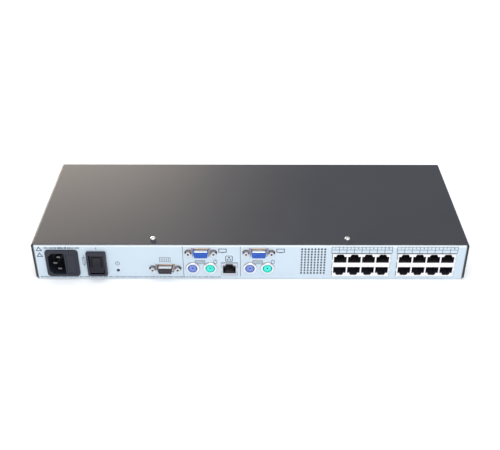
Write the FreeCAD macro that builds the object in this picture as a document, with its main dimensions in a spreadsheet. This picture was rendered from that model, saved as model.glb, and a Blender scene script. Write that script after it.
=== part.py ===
# KVM switch, one rack unit high: a folded steel case with a mains inlet, a rocker switch, console and
# server ports along one long face, and the boards, supply and wiring inside it.
#
# Millimetres. X runs along the case, +Y from the port face to the plain front, +Z up. The origin is the
# centre of the base's underside. Each connector is drawn in a frame of its own, mouth towards -Y, and
# placed by its body.
import FreeCAD, Part
import math
import os
import Sketcher

# Driving dimensions: name, value, what it is.
DIMENSIONS = [
    ("case_width", 430, "outside of the cover, left to right"),
    ("case_height", 43.7, "underside to the cover's top"),
    ("case_depth", 157, "cover's rear edge to its front edge"),
    ("cover_sheet", 1, "cover's sheet thickness"),
    ("cover_bend", 2.4, "outside radius of the cover's bends"),
    ("cover_lift", 2.6, "cover's lower edges above the underside"),
    ("cover_lip", 0.7, "how far the cover stands past the end walls"),
    ("pan_sheet", 1, "base pan's sheet thickness"),
    ("pan_bend", 1.6, "outside radius of the pan's bends"),
    ("pan_flange", 14, "depth of the pan's top flanges"),
    ("pan_side", 33, "height of the pan's side walls"),
    ("wall_corner", 3, "rounding of the end walls' top corners"),
    ("seam_gap", 0.2, "play between pan and cover"),
    ("label_film", 0.25, "thickness of the printed overlays"),
    ("inlet_along", -186.4, "mains inlet's centre, along the case"),
    ("inlet_level", 20.6, "its height"),
    ("rocker_along", -152.3, "power switch's centre, along the case"),
    ("rocker_level", 20.1, "its height"),
    ("lamp_along", -132, "power lamp's centre, along the case"),
    ("lamp_level", 11.1, "its height"),
    ("window_along", -190, "front lamp window's centre, along the case"),
    ("window_level", 21.4, "its height"),
    ("serial_along", -84.7, "serial port's centre, along the case"),
    ("serial_level", 13.6, "its height"),
    ("console_one", -48.6, "first console's centre, along the case"),
    ("console_two", 8.6, "second console's centre, along the case"),
    ("video_level", 33.1, "height of the video ports"),
    ("round_level", 14, "height of the keyboard and mouse ports"),
    ("round_pitch", 17.5, "keyboard port to mouse port"),
    ("remote_along", -20.7, "remote port's centre, along the case"),
    ("bank_one", 110.3, "first server bank's centre, along the case"),
    ("bank_two", 174.7, "second server bank's centre, along the case"),
    ("bank_level", 18.6, "height of the line between a bank's two rows"),
    ("jack_pitch", 14, "server port to server port"),
    ("jack_base", 2.95, "upper row's contact side, above a bank's middle"),
    ("jack_drop", 2.3, "lower row's contact side, below it"),
    ("vents_along", 62.6, "vent field's centre, along the case"),
    ("vents_level", 22.6, "its height"),
    ("vent_pitch", 3.25, "vent to vent, both ways"),
    ("vent_radius", 1, "vent's radius"),
    ("vent_columns", 8, "vents in a row"),
    ("vent_rows", 10, "rows of vents"),
    ("lid_screw_along", 96, "cover screws either side of the middle"),
    ("lid_screw_inset", 9, "cover screws in from the rear edge"),
    ("side_screw_level", 9, "height of the cover's side screws"),
    ("side_screw_spread", 42, "side screws either side of the middle"),
    ("bracket_level", 24, "height of the rack bracket holes"),
    ("bracket_front", 50, "rearmost bracket hole, forward of the middle"),
    ("bracket_pitch", 16, "bracket hole to bracket hole"),
    ("board_sheet", 1.6, "thickness of every circuit board"),
    ("board_top", 4.8, "main board's upper face"),
    ("video_board_top", 27.2, "console daughter board's upper face"),
    ("supply_top", 9.6, "supply board's upper face"),
    ("jackscrew_half", 12.495, "D connector's centre to its jack screw"),
    ("fuse_radius", 2.6, "fuse cap's radius"),
    ("fuse_length", 20, "fuse's length"),
]
ROCKER_REST = -11  # degrees about +X: the upper end is pressed in

# Where things stand inside the case: (x, y), seen from above.
BOARD_POSTS = [(-104, 50), (-104, -40), (0, 50), (60, -20), (100, 50), (205, 50), (205, -37), (-30, 10)]
SUPPLY_POSTS = [(-202, -30), (-130, -30), (-202, 66), (-130, 66)]
VIDEO_POSTS = [(-67.4, -60), (-67.4, -44), (27.2, -60), (27.2, -44)]
EARTH_STUD = (-204, -46)
HOT_CHIP = (-58, -20)
MAINS_PLUG = (-150, -31)
SUPPLY_PLUG = (-130.5, 36)
BOARD_PLUG = (-104, 36)
PLUG_TALL = 10

doc = FreeCAD.newDocument("kvm_switch")
sheet = doc.addObject("Spreadsheet::Sheet", "Sizes")
for row, (alias, value, note) in enumerate(DIMENSIONS, 1):
    sheet.set(f"A{row}", alias)
    sheet.set(f"B{row}", str(value))
    sheet.set(f"C{row}", note)
    sheet.setAlias(f"B{row}", alias)
doc.recompute()


class Cell:
    """A length worked out from the sheet: the formula a property is bound to, and its value."""

    def __init__(self, formula, value):
        self.formula = formula
        self.value = value

    def __add__(self, other):
        return Cell(f"({self.formula} + {formula(other)})", self.value + number(other))

    def __sub__(self, other):
        return Cell(f"({self.formula} - {formula(other)})", self.value - number(other))

    def __mul__(self, other):
        return Cell(f"({self.formula} * {formula(other)})", self.value * number(other))

    def __truediv__(self, other):
        return Cell(f"({self.formula} / {formula(other)})", self.value / number(other))

    def __radd__(self, other):
        return Cell(f"({formula(other)} + {self.formula})", number(other) + self.value)

    def __rsub__(self, other):
        return Cell(f"({formula(other)} - {self.formula})", number(other) - self.value)

    def __rmul__(self, other):
        return self * other

    def __neg__(self):
        return Cell(f"(0 - {self.formula})", -self.value)


def formula(length):
    return length.formula if isinstance(length, Cell) else repr(length)


def number(length):
    return length.value if isinstance(length, Cell) else length


def bind(item, name, length):
    item.setExpression(name, formula(length))


class Sheet:
    """Every alias of the sheet as a Cell."""

    def __getattr__(self, alias):
        return Cell(f"Sizes.{alias}", float(sheet.get(alias)))


size = Sheet()
subparts = []

# Levels that several sub-parts share.
HALF_DEPTH = size.case_depth / 2
WALL_BACK = size.cover_lip - HALF_DEPTH  # rear wall's outer face
WALL_INSIDE = WALL_BACK + size.pan_sheet  # rear wall's inner face, where connector flanges sit
WALL_FRONT = HALF_DEPTH - size.cover_lip  # front wall's outer face
FILM_BACK = WALL_BACK - size.label_film  # rear overlay's printed face
PAN_HALF = size.case_width / 2 - size.cover_sheet - size.seam_gap
PAN_TOP = size.case_height - size.cover_sheet - size.seam_gap


def subpart(item, label, x=0, y=0, z=0):
    """Names a finished piece and places it in the case."""
    item.Label = label
    place(item, x, y, z)
    subparts.append(item)
    return item


def place(item, x, y, z):
    bind(item, "Placement.Base.x", x)
    bind(item, "Placement.Base.y", y)
    bind(item, "Placement.Base.z", z)


# ---- Primitives and booleans ---------------------------------------------------------------------


def block(x0, x1, y0, y1, z0, z1):
    item = doc.addObject("Part::Box", "Block")
    bind(item, "Length", x1 - x0)
    bind(item, "Width", y1 - y0)
    bind(item, "Height", z1 - z0)
    place(item, x0, y0, z0)
    return item


def turned(axis):
    """The rotation that carries +Z to the named axis."""
    return {
        "x": FreeCAD.Rotation(FreeCAD.Vector(0, 1, 0), 90),
        "y": FreeCAD.Rotation(FreeCAD.Vector(1, 0, 0), -90),
        "z": FreeCAD.Rotation(),
    }[axis]


def rod(axis, x, y, z, radius, length):
    """A cylinder from a point, along an axis."""
    item = doc.addObject("Part::Cylinder", "Rod")
    item.Placement = FreeCAD.Placement(FreeCAD.Vector(), turned(axis))
    bind(item, "Radius", radius)
    bind(item, "Height", length)
    place(item, x, y, z)
    return item


def cone(axis, x, y, z, radius_start, radius_end, length):
    item = doc.addObject("Part::Cone", "Cone")
    item.Placement = FreeCAD.Placement(FreeCAD.Vector(), turned(axis))
    bind(item, "Radius1", radius_start)
    bind(item, "Radius2", radius_end)
    bind(item, "Height", length)
    place(item, x, y, z)
    return item


def hexagon(axis, x, y, z, corner_radius, length):
    item = doc.addObject("Part::Prism", "Hexagon")
    item.Polygon = 6
    item.Placement = FreeCAD.Placement(FreeCAD.Vector(), turned(axis))
    bind(item, "Circumradius", corner_radius)
    bind(item, "Height", length)
    place(item, x, y, z)
    return item


def join(*items):
    result = doc.addObject("Part::MultiFuse", "Join")
    result.Shapes = list(items)
    return result


def cut(base, *tools):
    result = doc.addObject("Part::Cut", "Cut")
    result.Base = base
    result.Tool = tools[0] if len(tools) == 1 else join(*tools)
    return result


def common(first, second):
    result = doc.addObject("Part::Common", "Common")
    result.Base = first
    result.Tool = second
    return result


def group(items):
    """Separate solids of one kind in one piece."""
    result = doc.addObject("Part::Compound", "Group")
    result.Links = list(items)
    return result


def softened(base, radius, picks):
    """base with the edges that picks chooses rounded."""
    doc.recompute()
    result = doc.addObject("Part::Fillet", "Softened")
    result.Base = base
    result.Edges = [(i, radius, radius) for i, edge in enumerate(base.Shape.Edges, 1) if picks(edge)]
    return result


# ---- PartDesign bodies ---------------------------------------------------------------------------


def rectangle(u0, u1, v0, v1):
    return [(u0, v0), (u1, v0), (u1, v1), (u0, v1)]


def draw(sketch, loop):
    """Draws a closed loop held by formulas: a list of points, or (u, v, radius) for a circle."""
    first = sketch.GeometryCount

    def hold(kind, length, *where):
        index = sketch.addConstraint(Sketcher.Constraint(kind, *where, number(length)))
        if isinstance(length, Cell):
            sketch.setExpression(f"Constraints[{index}]", length.formula)

    if isinstance(loop, tuple):
        u, v, radius = loop
        centre = FreeCAD.Vector(number(u), number(v), 0)
        sketch.addGeometry(Part.Circle(centre, FreeCAD.Vector(0, 0, 1), number(radius)))
        hold("DistanceX", u, -1, 1, first, 3)
        hold("DistanceY", v, -1, 1, first, 3)
        hold("Radius", radius, first)
        return
    corners = [FreeCAD.Vector(number(u), number(v), 0) for u, v in loop]
    count = len(loop)
    for i in range(count):
        sketch.addGeometry(Part.LineSegment(corners[i], corners[(i + 1) % count]))
    for i in range(count):
        sketch.addConstraint(Sketcher.Constraint("Coincident", first + i, 2, first + (i + 1) % count, 1))
    for i, (u, v) in enumerate(loop):
        hold("DistanceX", u, -1, 1, first + i, 1)
        hold("DistanceY", v, -1, 1, first + i, 1)


class Body:
    """A PartDesign body. Levels are coordinates across the plane: Z over XY, Y over XZ, X over YZ."""

    def __init__(self, label):
        self.item = doc.addObject("PartDesign::Body", label)

    def sketch(self, plane, level, loops):
        sketch = self.item.newObject("Sketcher::SketchObject", "Sketch")
        support = next(f for f in self.item.Origin.OriginFeatures if f.Role == f"{plane}_Plane")
        sketch.AttachmentSupport = [(support, "")]
        sketch.MapMode = "FlatFace"
        bind(sketch, "AttachmentOffset.Base.z", -level if plane == "XZ" else level)
        for loop in loops:
            draw(sketch, loop)
        return sketch

    def feature(self, kind, sketch, length):
        feature = self.item.newObject(f"PartDesign::{kind}", kind)
        feature.Profile = sketch
        bind(feature, "Length", length)
        self.item.Tip = feature
        return feature

    def pad(self, plane, low, high, *loops):
        """Adds material between two levels. XZ's normal is -Y, so its sketch lies at the high level."""
        sketch = self.sketch(plane, high if plane == "XZ" else low, loops)
        return self.feature("Pad", sketch, high - low)

    def pocket(self, plane, low, high, *loops):
        """Takes material away between two levels."""
        sketch = self.sketch(plane, low if plane == "XZ" else high, loops)
        return self.feature("Pocket", sketch, high - low)

    def grid(self, feature, pitch, columns, rows):
        """Repeats a feature of an XZ sketch along X and up Z."""
        pattern = self.item.newObject("PartDesign::LinearPattern", "Grid")
        pattern.Originals = [feature]
        pattern.Direction = (feature.Profile[0], ["H_Axis"])
        pattern.Direction2 = (feature.Profile[0], ["V_Axis"])
        bind(pattern, "Length", (columns - 1) * pitch)
        bind(pattern, "Length2", (rows - 1) * pitch)
        bind(pattern, "Occurrences", columns)
        bind(pattern, "Occurrences2", rows)
        self.item.Tip = pattern

    def dress(self, kind, name, length, picks):
        doc.recompute()
        base = self.item.Tip
        edges = [f"Edge{i}" for i, edge in enumerate(base.Shape.Edges, 1) if picks(edge)]
        feature = self.item.newObject(f"PartDesign::{kind}", kind)
        feature.Base = (base, edges)
        bind(feature, name, length)
        self.item.Tip = feature

    def rounded(self, radius, picks):
        self.dress("Fillet", "Radius", radius, picks)

    def chamfered(self, length, picks):
        self.dress("Chamfer", "Size", length, picks)


def near(a, b):
    return abs(number(a) - number(b)) < 1e-4


def runs(edge, axis):
    """True for a straight edge along the axis."""
    if not isinstance(edge.Curve, Part.Line):
        return False
    along = edge.Curve.Direction
    return abs(abs({"x": along.x, "y": along.y, "z": along.z}[axis]) - 1) < 1e-6


def middle(edge):
    return edge.BoundBox.Center


# ---- Case ----------------------------------------------------------------------------------------


def d_outline(x, z, half_top, half_bottom, half_height):
    """The D connector's outline, wide side up."""
    return [
        (x - half_top, z + half_height),
        (x + half_top, z + half_height),
        (x + half_bottom, z - half_height),
        (x - half_bottom, z - half_height),
    ]


D_PORTS = [
    (size.serial_along, size.serial_level),
    (size.console_one, size.video_level),
    (size.console_two, size.video_level),
]
ROUND_PORTS = [
    (console + side * size.round_pitch / 2, size.round_level)
    for console in (size.console_one, size.console_two)
    for side in (-1, 1)
]


def open_ports(wall, low, high, gap):
    """Cuts every port's opening through a wall between two Y levels, each gap larger all round."""
    frames = [
        (size.inlet_along, size.inlet_level, 14.8, 13.6, 13.6),
        (size.rocker_along, size.rocker_level, 8.7, 12.9, 12.9),
        (size.remote_along, size.board_top, 8.2, 0.2, 15.9),
        (size.bank_one, size.bank_level, 28.9, 13.9, 13.6),
        (size.bank_two, size.bank_level, 28.9, 13.9, 13.6),
    ]
    loops = [
        rectangle(x - half - gap, x + half + gap, z - down - gap, z + up + gap)
        for x, z, half, down, up in frames
    ]
    loops += [d_outline(x, z, 9.9 + gap, 8.4 + gap, 5 + gap) for x, z in D_PORTS]
    loops += [(x, z, 7.05 + gap) for x, z in ROUND_PORTS]
    loops += [(size.lamp_along, size.lamp_level, 1.6 + gap)]
    wall.pocket("XZ", low, high, *loops)
    lobes = [(x + side * size.jackscrew_half, z, 3.7 + gap) for x, z in D_PORTS for side in (-1, 1)]
    wall.pocket("XZ", low, high, *lobes)
    corner_x = size.vents_along - (size.vent_columns - 1) / 2 * size.vent_pitch
    corner_z = size.vents_level - (size.vent_rows - 1) / 2 * size.vent_pitch
    vent = wall.pocket("XZ", low, high, (corner_x, corner_z, size.vent_radius + gap / 2))
    wall.grid(vent, size.vent_pitch, size.vent_columns, size.vent_rows)


def side_holes(radius):
    """Rods across the case where the cover's side screws and the rack brackets' screws pass."""
    reach = size.case_width / 2 + 1
    rows = [(side * size.side_screw_spread, size.side_screw_level) for side in (-1, 1)]
    rows += [(size.bracket_front + i * size.bracket_pitch, size.bracket_level) for i in range(2)]
    return [rod("x", -reach, y, z, radius, reach * 2) for y, z in rows]


def base_pan():
    """One folded sheet: bottom, two end walls with flanges under the cover, and two side walls."""
    pan = Body("pan_fold")
    sheet_in = size.pan_sheet
    inner = PAN_TOP - sheet_in
    pan.pad(
        "YZ",
        -PAN_HALF,
        PAN_HALF,
        [
            (WALL_BACK + size.pan_flange, PAN_TOP),
            (WALL_BACK, PAN_TOP),
            (WALL_BACK, 0),
            (WALL_FRONT, 0),
            (WALL_FRONT, PAN_TOP),
            (WALL_FRONT - size.pan_flange, PAN_TOP),
            (WALL_FRONT - size.pan_flange, inner),
            (WALL_FRONT - sheet_in, inner),
            (WALL_FRONT - sheet_in, sheet_in),
            (WALL_INSIDE, sheet_in),
            (WALL_INSIDE, inner),
            (WALL_BACK + size.pan_flange, inner),
        ],
    )

    def outer_bend(edge):
        at = middle(edge)
        ends = near(at.y, WALL_BACK) or near(at.y, WALL_FRONT)
        return runs(edge, "x") and ends and (near(at.z, 0) or near(at.z, PAN_TOP))

    def inner_bend(edge):
        at = middle(edge)
        ends = near(at.y, WALL_INSIDE) or near(at.y, WALL_FRONT - sheet_in)
        return runs(edge, "x") and ends and (near(at.z, sheet_in) or near(at.z, inner))

    pan.rounded(size.pan_bend, outer_bend)
    pan.rounded(size.pan_bend - sheet_in, inner_bend)
    relief = 3
    for low, high in ((-PAN_HALF, sheet_in - PAN_HALF), (PAN_HALF - sheet_in, PAN_HALF)):
        walls = rectangle(low, high, WALL_BACK + relief, WALL_FRONT - relief)
        pan.pad("XY", 0, size.pan_side, walls)
    open_ports(pan, WALL_BACK, WALL_INSIDE, 0)
    pan.pocket("XZ", WALL_FRONT - sheet_in, WALL_FRONT, (size.window_along, size.window_level, 2.1))
    envelope = block(-PAN_HALF, PAN_HALF, WALL_BACK, WALL_FRONT, 0, PAN_TOP)

    def top_corner(edge):
        return runs(edge, "y") and near(middle(edge).z, PAN_TOP)

    cornered = common(pan.item, softened(envelope, size.wall_corner.value, top_corner))
    inset = size.lid_screw_inset - HALF_DEPTH
    screws = [rod("z", side * size.lid_screw_along, inset, inner - 1, 1.55, 4) for side in (-1, 1)]
    standoffs = [rod("z", x, y, -1, 1.6, 4) for x, y in BOARD_POSTS + SUPPLY_POSTS + [EARTH_STUD]]
    subpart(cut(cornered, *screws, *standoffs, *side_holes(2.2)), "base_pan")


def top_cover():
    """The wrap-round cover: top and two sides, bent from one sheet."""
    cover = Body("cover_fold")
    half = size.case_width / 2
    inner = half - size.cover_sheet
    under = size.case_height - size.cover_sheet
    cover.pad(
        "XZ",
        -HALF_DEPTH,
        HALF_DEPTH,
        [
            (-half, size.cover_lift),
            (-half, size.case_height),
            (half, size.case_height),
            (half, size.cover_lift),
            (inner, size.cover_lift),
            (inner, under),
            (-inner, under),
            (-inner, size.cover_lift),
        ],
    )

    def outside(edge):
        return runs(edge, "y") and near(middle(edge).z, size.case_height)

    def inside(edge):
        return runs(edge, "y") and near(middle(edge).z, under)

    cover.rounded(size.cover_bend, outside)
    cover.rounded(size.cover_bend - size.cover_sheet, inside)
    inset = size.lid_screw_inset - HALF_DEPTH
    screws = [(side * size.lid_screw_along, inset, 1.8) for side in (-1, 1)]
    cover.pocket("XY", under, size.case_height, *screws)
    subpart(cut(cover.item, *side_holes(2.3)), "top_cover")


def overlay(label, low, high, rear):
    """A printed film on an end wall: over the whole rear wall, or over the front wall's middle."""
    film = Body(f"{label}_sheet")
    margin = 1.2
    half = PAN_HALF - margin if rear else PAN_HALF - 6
    bottom, top = (1.2, PAN_TOP - 1.2) if rear else (4, PAN_TOP - 4)
    film.pad("XZ", low, high, rectangle(-half, half, bottom, top))

    def corner(edge):
        return runs(edge, "y")

    film.rounded(size.wall_corner - margin / 2, corner)
    if rear:
        open_ports(film, low, high, 0.25)
    else:
        film.pocket("XZ", low, high, (size.window_along, size.window_level, 2.3))
    subpart(film.item, label)


def machine_screw(axis, x, y, z, outward, shank=1.5, length=5, head_height=1.35):
    """A pan-head screw, its head on the outward side of the point, with a cross recess."""
    head = 2.75
    point = {"x": x, "y": y, "z": z}
    at = dict(point)
    if outward < 0:
        at[axis] = at[axis] - head_height
    tip = point[axis] + outward * head_height
    plain = rod(axis, at["x"], at["y"], at["z"], head, head_height)
    crown = softened(plain, head_height * 0.7, lambda e: near(getattr(middle(e), axis), tip))
    stem = dict(point)
    if outward > 0:
        stem[axis] = stem[axis] - length
    body = join(crown, rod(axis, stem["x"], stem["y"], stem["z"], shank, length))
    wing, slit = head * 0.5, head * 0.12
    spans = {a: (point[a] - wing, point[a] + wing) for a in "xyz"}
    near_face = point[axis] + outward * head_height * 0.4
    far_face = point[axis] + outward * (head_height + 0.2)
    spans[axis] = (near_face, far_face) if outward > 0 else (far_face, near_face)
    slots = []
    for narrow in "xyz".replace(axis, ""):
        box = dict(spans)
        box[narrow] = (point[narrow] - slit, point[narrow] + slit)
        slots.append(block(*box["x"], *box["y"], *box["z"]))
    return cut(body, *slots)


def cover_screws():
    inset = size.lid_screw_inset - HALF_DEPTH
    top = size.case_height
    rear = [
        machine_screw("z", side * size.lid_screw_along, inset, top, 1, head_height=1.7) for side in (-1, 1)
    ]
    subpart(group(rear), "cover_screws_top")
    level = size.side_screw_level
    sides = [
        machine_screw("x", side * size.case_width / 2, along * size.side_screw_spread, level, side)
        for side in (-1, 1)
        for along in (-1, 1)
    ]
    subpart(group(sides), "cover_screws_side")
    spots = [(along * size.side_screw_spread, level, 1.55) for along in (-1, 1)]
    spots += [(size.bracket_front + i * size.bracket_pitch, size.bracket_level, 1.65) for i in range(2)]
    nuts = []
    for side in (-1, 1):
        for y, z, bore in spots:
            low = side * (PAN_HALF - size.pan_sheet) - (2.6 if side > 0 else 0)
            collar = rod("x", low, y, z, 3.4, 2.6)
            neck = rod("x", side * (PAN_HALF - size.pan_sheet / 2) - 0.5, y, z, 2.2, 1)
            nuts.append(cut(join(collar, neck), rod("x", low - 2, y, z, bore, 7)))
    subpart(group(nuts), "side_nuts")


# ---- Mains inlet, fuses and power switch ---------------------------------------------------------


def mains_inlet():
    """Inlet turned on its side, its fuse drawer beside the socket. Y 0 is the overlay's face."""
    at = (size.inlet_along, FILM_BACK, size.inlet_level)
    face, floor, back = -2.4, 14.6, 24
    blades = []
    for z, left in ((-7, -5.4), (7, -5.4), (0, -9.4)):
        blank = block(left, left + 4, -1, 18, z - 1, z + 1)
        blade = softened(blank, 0.75, lambda e: near(middle(e).y, -1))
        blades.append(join(blade, block(left - 0.4, left + 4.4, 18, 31.5, z - 0.4, z + 0.4)))
    clips = [block(3.5, 4.15, 11, 19.4, z - 1.8, z + 1.8) for z in (-8, 8)]
    housing = Body("inlet_moulding")
    housing.pad("XZ", face, 0, rectangle(-16.3, 16.3, -15.8, 15.8))
    housing.rounded(3.4, lambda e: runs(e, "y"))
    housing.chamfered(0.7, lambda e: near(middle(e).y, face) and e.BoundBox.YLength < 1e-6)
    housing.pad("XZ", 0, back, rectangle(-14.6, 14.6, -13.4, 13.4))
    notch, left, right, half = 4.2, -13.6, 2.7, 12.6
    socket = [
        (left + notch, -half),
        (right, -half),
        (right, half),
        (left + notch, half),
        (left, half - notch),
        (left, notch - half),
    ]
    housing.pocket("XZ", face, floor, socket)
    housing.pocket("XZ", face, 22, rectangle(4.2, 13.6, -11.8, 11.8))
    subpart(cut(housing.item, *blades, *clips), "inlet_housing", *at)
    subpart(group(blades), "inlet_blades", *at)
    subpart(group(clips), "fuse_contacts", *at)

    drawer = Body("drawer_moulding")
    drawer.pad("XZ", face, 20, rectangle(4.35, 13.45, -11.65, 11.65))
    bays = (5.2, 15.2)
    for bay in bays:
        drawer.pocket("XZ", bay - 2.8, bay + 2.8, rectangle(4.35, 10.3, -10.3, 10.3))
    drawer.rounded(0.4, lambda e: near(middle(e).y, face))
    subpart(drawer.item, "fuse_drawer", *at)
    half_length = size.fuse_length / 2
    tubes, caps = [], []
    for bay in bays:
        tube = rod("z", 7.6, bay, 0.4 - half_length, size.fuse_radius - 0.25, size.fuse_length - 0.8)
        bore = rod("z", 7.6, bay, -half_length, size.fuse_radius - 0.75, size.fuse_length)
        tubes.append(cut(tube, bore))
        for low in (-half_length, half_length - 5.4):
            cup = rod("z", 7.6, bay, low, size.fuse_radius, 5.4)
            hollow = rod("z", 7.6, bay, low + 0.4 if low.value < 0 else low, size.fuse_radius - 0.25, 5)
            caps.append(cut(cup, hollow))
    subpart(group(tubes), "fuse_tubes", *at)
    subpart(group(caps), "fuse_caps", *at)


def power_switch():
    """Rocker in a raised frame. Y 0 is the overlay's face and the pivot is just behind it."""
    at = (size.rocker_along, FILM_BACK, size.rocker_level)
    face, pivot = -3.6, 3
    tabs = [block(x - 0.4, x + 0.4, 13.5, 27, z - 3.1, z + 3.1) for x in (-4, 4) for z in (-7, 7)]
    frame = Body("switch_moulding")
    frame.pad("XZ", face, 0, rectangle(-9.8, 9.8, -14.4, 14.4))
    frame.rounded(1.6, lambda e: runs(e, "y"))
    frame.chamfered(0.9, lambda e: near(middle(e).y, face) and e.BoundBox.YLength < 1e-6)
    frame.pad("XZ", 0, 19, rectangle(-8.5, 8.5, -12.7, 12.7))
    frame.pocket("XZ", face, 12, rectangle(-7.4, 7.4, -11.4, 11.4))
    frame.pocket("YZ", -8.1, 8.1, (pivot, 0, 1.3))
    subpart(cut(frame.item, *tabs), "switch_housing", *at)
    subpart(group(tabs), "switch_terminals", *at)

    half, valley, rim, reach = 6.95, -4.4, -7.2, 9.6
    rocker = Body("rocker_moulding")
    back = [(-1, -10.2), (2.5, -4), (4, 0), (2.5, 4), (-1, 10.2)]
    rocker.pad("YZ", -half, half, [(rim, reach), (valley, 0), (rim, -reach)] + back)
    rocker.rounded(0.7, lambda e: runs(e, "x") and middle(e).y < -7)
    rocker.rounded(0.5, lambda e: abs(abs(middle(e).x) - half) < 1e-6 and middle(e).y < -3)

    def channel(low, high):
        """A shallow channel's profile along the rocker's dished face."""
        levels = [low, 0, high] if low < 0 else [low, high]
        floor = [(valley + (rim - valley) * abs(v) / reach + 0.5, v) for v in levels]
        return [(rim - 2, low)] + floor + [(rim - 2, high)]

    for low, high in ((-5.4, -4), (4, 5.4)):
        rocker.pocket("YZ", low, high, channel(-3.5, 8))
    rocker.pocket("YZ", -5.4, 5.4, channel(6.6, 8))
    rocker.pad("YZ", -8, 8, (0, 0, 1.2))
    rocker.item.Placement.Rotation = FreeCAD.Rotation(FreeCAD.Vector(1, 0, 0), ROCKER_REST)
    subpart(rocker.item, "switch_rocker", size.rocker_along, FILM_BACK + pivot, size.rocker_level)


def power_lamp():
    """A 3 mm lamp looking through the rear wall, its two leads turned down to the board."""
    x, z = size.lamp_along, size.lamp_level
    lens = join(rod("y", x, WALL_BACK, z, 1.5, 4.4), rod("y", x, WALL_BACK + 4.4, z, 1.9, 1))
    dome = softened(lens, 0.8, lambda e: near(middle(e).y, WALL_BACK))
    back = WALL_BACK + 5.4
    leads = []
    for side in (-1.27, 1.27):
        leads.append(block(x + side - 0.25, x + side + 0.25, back - 0.2, back + 2, z - 0.25, z + 0.25))
        low = size.board_top
        leads.append(block(x + side - 0.25, x + side + 0.25, back + 1.5, back + 2, low, z + 0.25))
    subpart(join(dome, *leads), "power_lamp")


# ---- Signal connectors ---------------------------------------------------------------------------


def d_port(name, x, z, board, contacts, bore):
    """A female D connector: shell, insulator and jack screws. Y 0 is the rear wall's inner face."""
    at = (x, WALL_INSIDE, z)
    mouth = -6
    shell = Body(f"{name}_stamping")
    shell.pad("XZ", mouth, 0, d_outline(0, 0, 8.15, 6.75, 3.95))
    shell.rounded(2.2, lambda e: e.BoundBox.YLength > 5)
    shell.rounded(0.45, lambda e: near(middle(e).y, mouth))
    shell.pad("XZ", 0, 0.5, rectangle(-15.4, 15.4, -6.2, 6.2))
    shell.rounded(1.2, lambda e: runs(e, "y") and abs(abs(middle(e).x) - 15.4) < 0.01)
    shell.pocket("XZ", mouth, 0.5, d_outline(0, 0, 7.74, 6.41, 3.57))
    shell.pocket("XZ", 0, 0.5, *[(side * size.jackscrew_half, 0, 1.6) for side in (-1, 1)])
    subpart(shell.item, f"{name}_shell", *at)

    insert = Body(f"{name}_moulding")
    face = mouth + 0.5
    insert.pad("XZ", face, 0.5, d_outline(0, 0, 7.7, 6.37, 3.53))
    insert.pad("XZ", 0.5, 11, rectangle(-9.6, 9.6, board - z, 5.3))
    insert.pocket("XZ", face, -0.4, *[(u, v, bore) for u, v in contacts])
    subpart(insert.item, f"{name}_insert", *at)


def jack_screws():
    """Hexagonal posts with a threaded bore, one at each end of every D connector."""
    posts = []
    for x, z in D_PORTS:
        for along in (x - size.jackscrew_half, x + size.jackscrew_half):
            nut = common(hexagon("y", along, -5, z, 2.75, 5), cone("y", along, -5, z, 2.45, 4.45, 5))
            stem = rod("y", along, 0, z, 1.5, 3.5)
            posts.append(cut(join(nut, stem), rod("y", along, -5.5, z, 1.15, 6.5)))
    subpart(group(posts), "port_jackscrews", 0, WALL_INSIDE, 0)


def video_contacts():
    pitch, level = 2.29, 1.98
    outer = [(u * pitch, side * level) for side in (-1, 1) for u in (-2, -1, 0, 1, 2)]
    return outer + [((u + 0.5) * pitch, 0) for u in (-2, -1, 0, 1, 2)]


def serial_contacts():
    pitch, level = 2.77, 1.42
    upper = [(u * pitch, level) for u in (-2, -1, 0, 1, 2)]
    return upper + [(u * pitch, -level) for u in (-1.5, -0.5, 0.5, 1.5)]


def round_shield(x, z):
    """A mini-DIN socket's metal can, with the ring that shows outside."""
    drop = size.board_top - z
    shield = Body("round_can")
    shield.pad("XZ", -2.3, 0, (0, 0, 6.9))
    shield.chamfered(0.6, lambda e: near(middle(e).y, -2.3) and near(e.BoundBox.XLength, 13.8))
    shield.pad("XZ", 0, 12.5, rectangle(-6.95, 6.95, drop, 7.1))
    shield.pocket("XZ", 0.5, 12.5, rectangle(-6.6, 6.6, drop, 6.75))
    shield.pocket("XZ", -2.3, 0.5, (0, 0, 4.9))
    place(shield.item, x, WALL_INSIDE, z)
    return shield.item


def round_core(name, x, z):
    """A mini-DIN socket's coloured insulator, with six contact holes and the key."""
    drop = size.board_top - z
    core = Body(f"{name}_moulding")
    core.pad("XZ", -1.9, 0.5, (0, 0, 4.85))
    core.pad("XZ", 0.5, 12.3, rectangle(-6.55, 6.55, drop, 6.7))
    core.pocket("XZ", -1.9, 7, (0, 0, 4.5), (0, 0, 3.75))
    pins = [(1.25, 2.2), (-1.25, 2.2), (2.75, 0.1), (-2.75, 0.1), (1.3, -2.1), (-1.3, -2.1)]
    core.pocket("XZ", -1.9, 5, *[(u, v, 0.45) for u, v in pins])
    core.pocket("XZ", -1.9, 5, rectangle(-0.75, 0.75, -0.8, 1.1))
    subpart(core.item, f"{name}_core", x, WALL_INSIDE, z)


def jack_outline(u, base, up):
    """A modular jack's mouth, from contact side to latch notch: up is 1 with the notch above, else -1."""
    half = [(6.3, 0), (6.3, 7.3), (3.9, 7.3), (3.9, 8.6), (2.6, 10)]
    right = [(u + a, base + up * b) for a, b in half]
    left = [(u - a, base + up * b) for a, b in reversed(half)]
    return right + left


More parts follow.
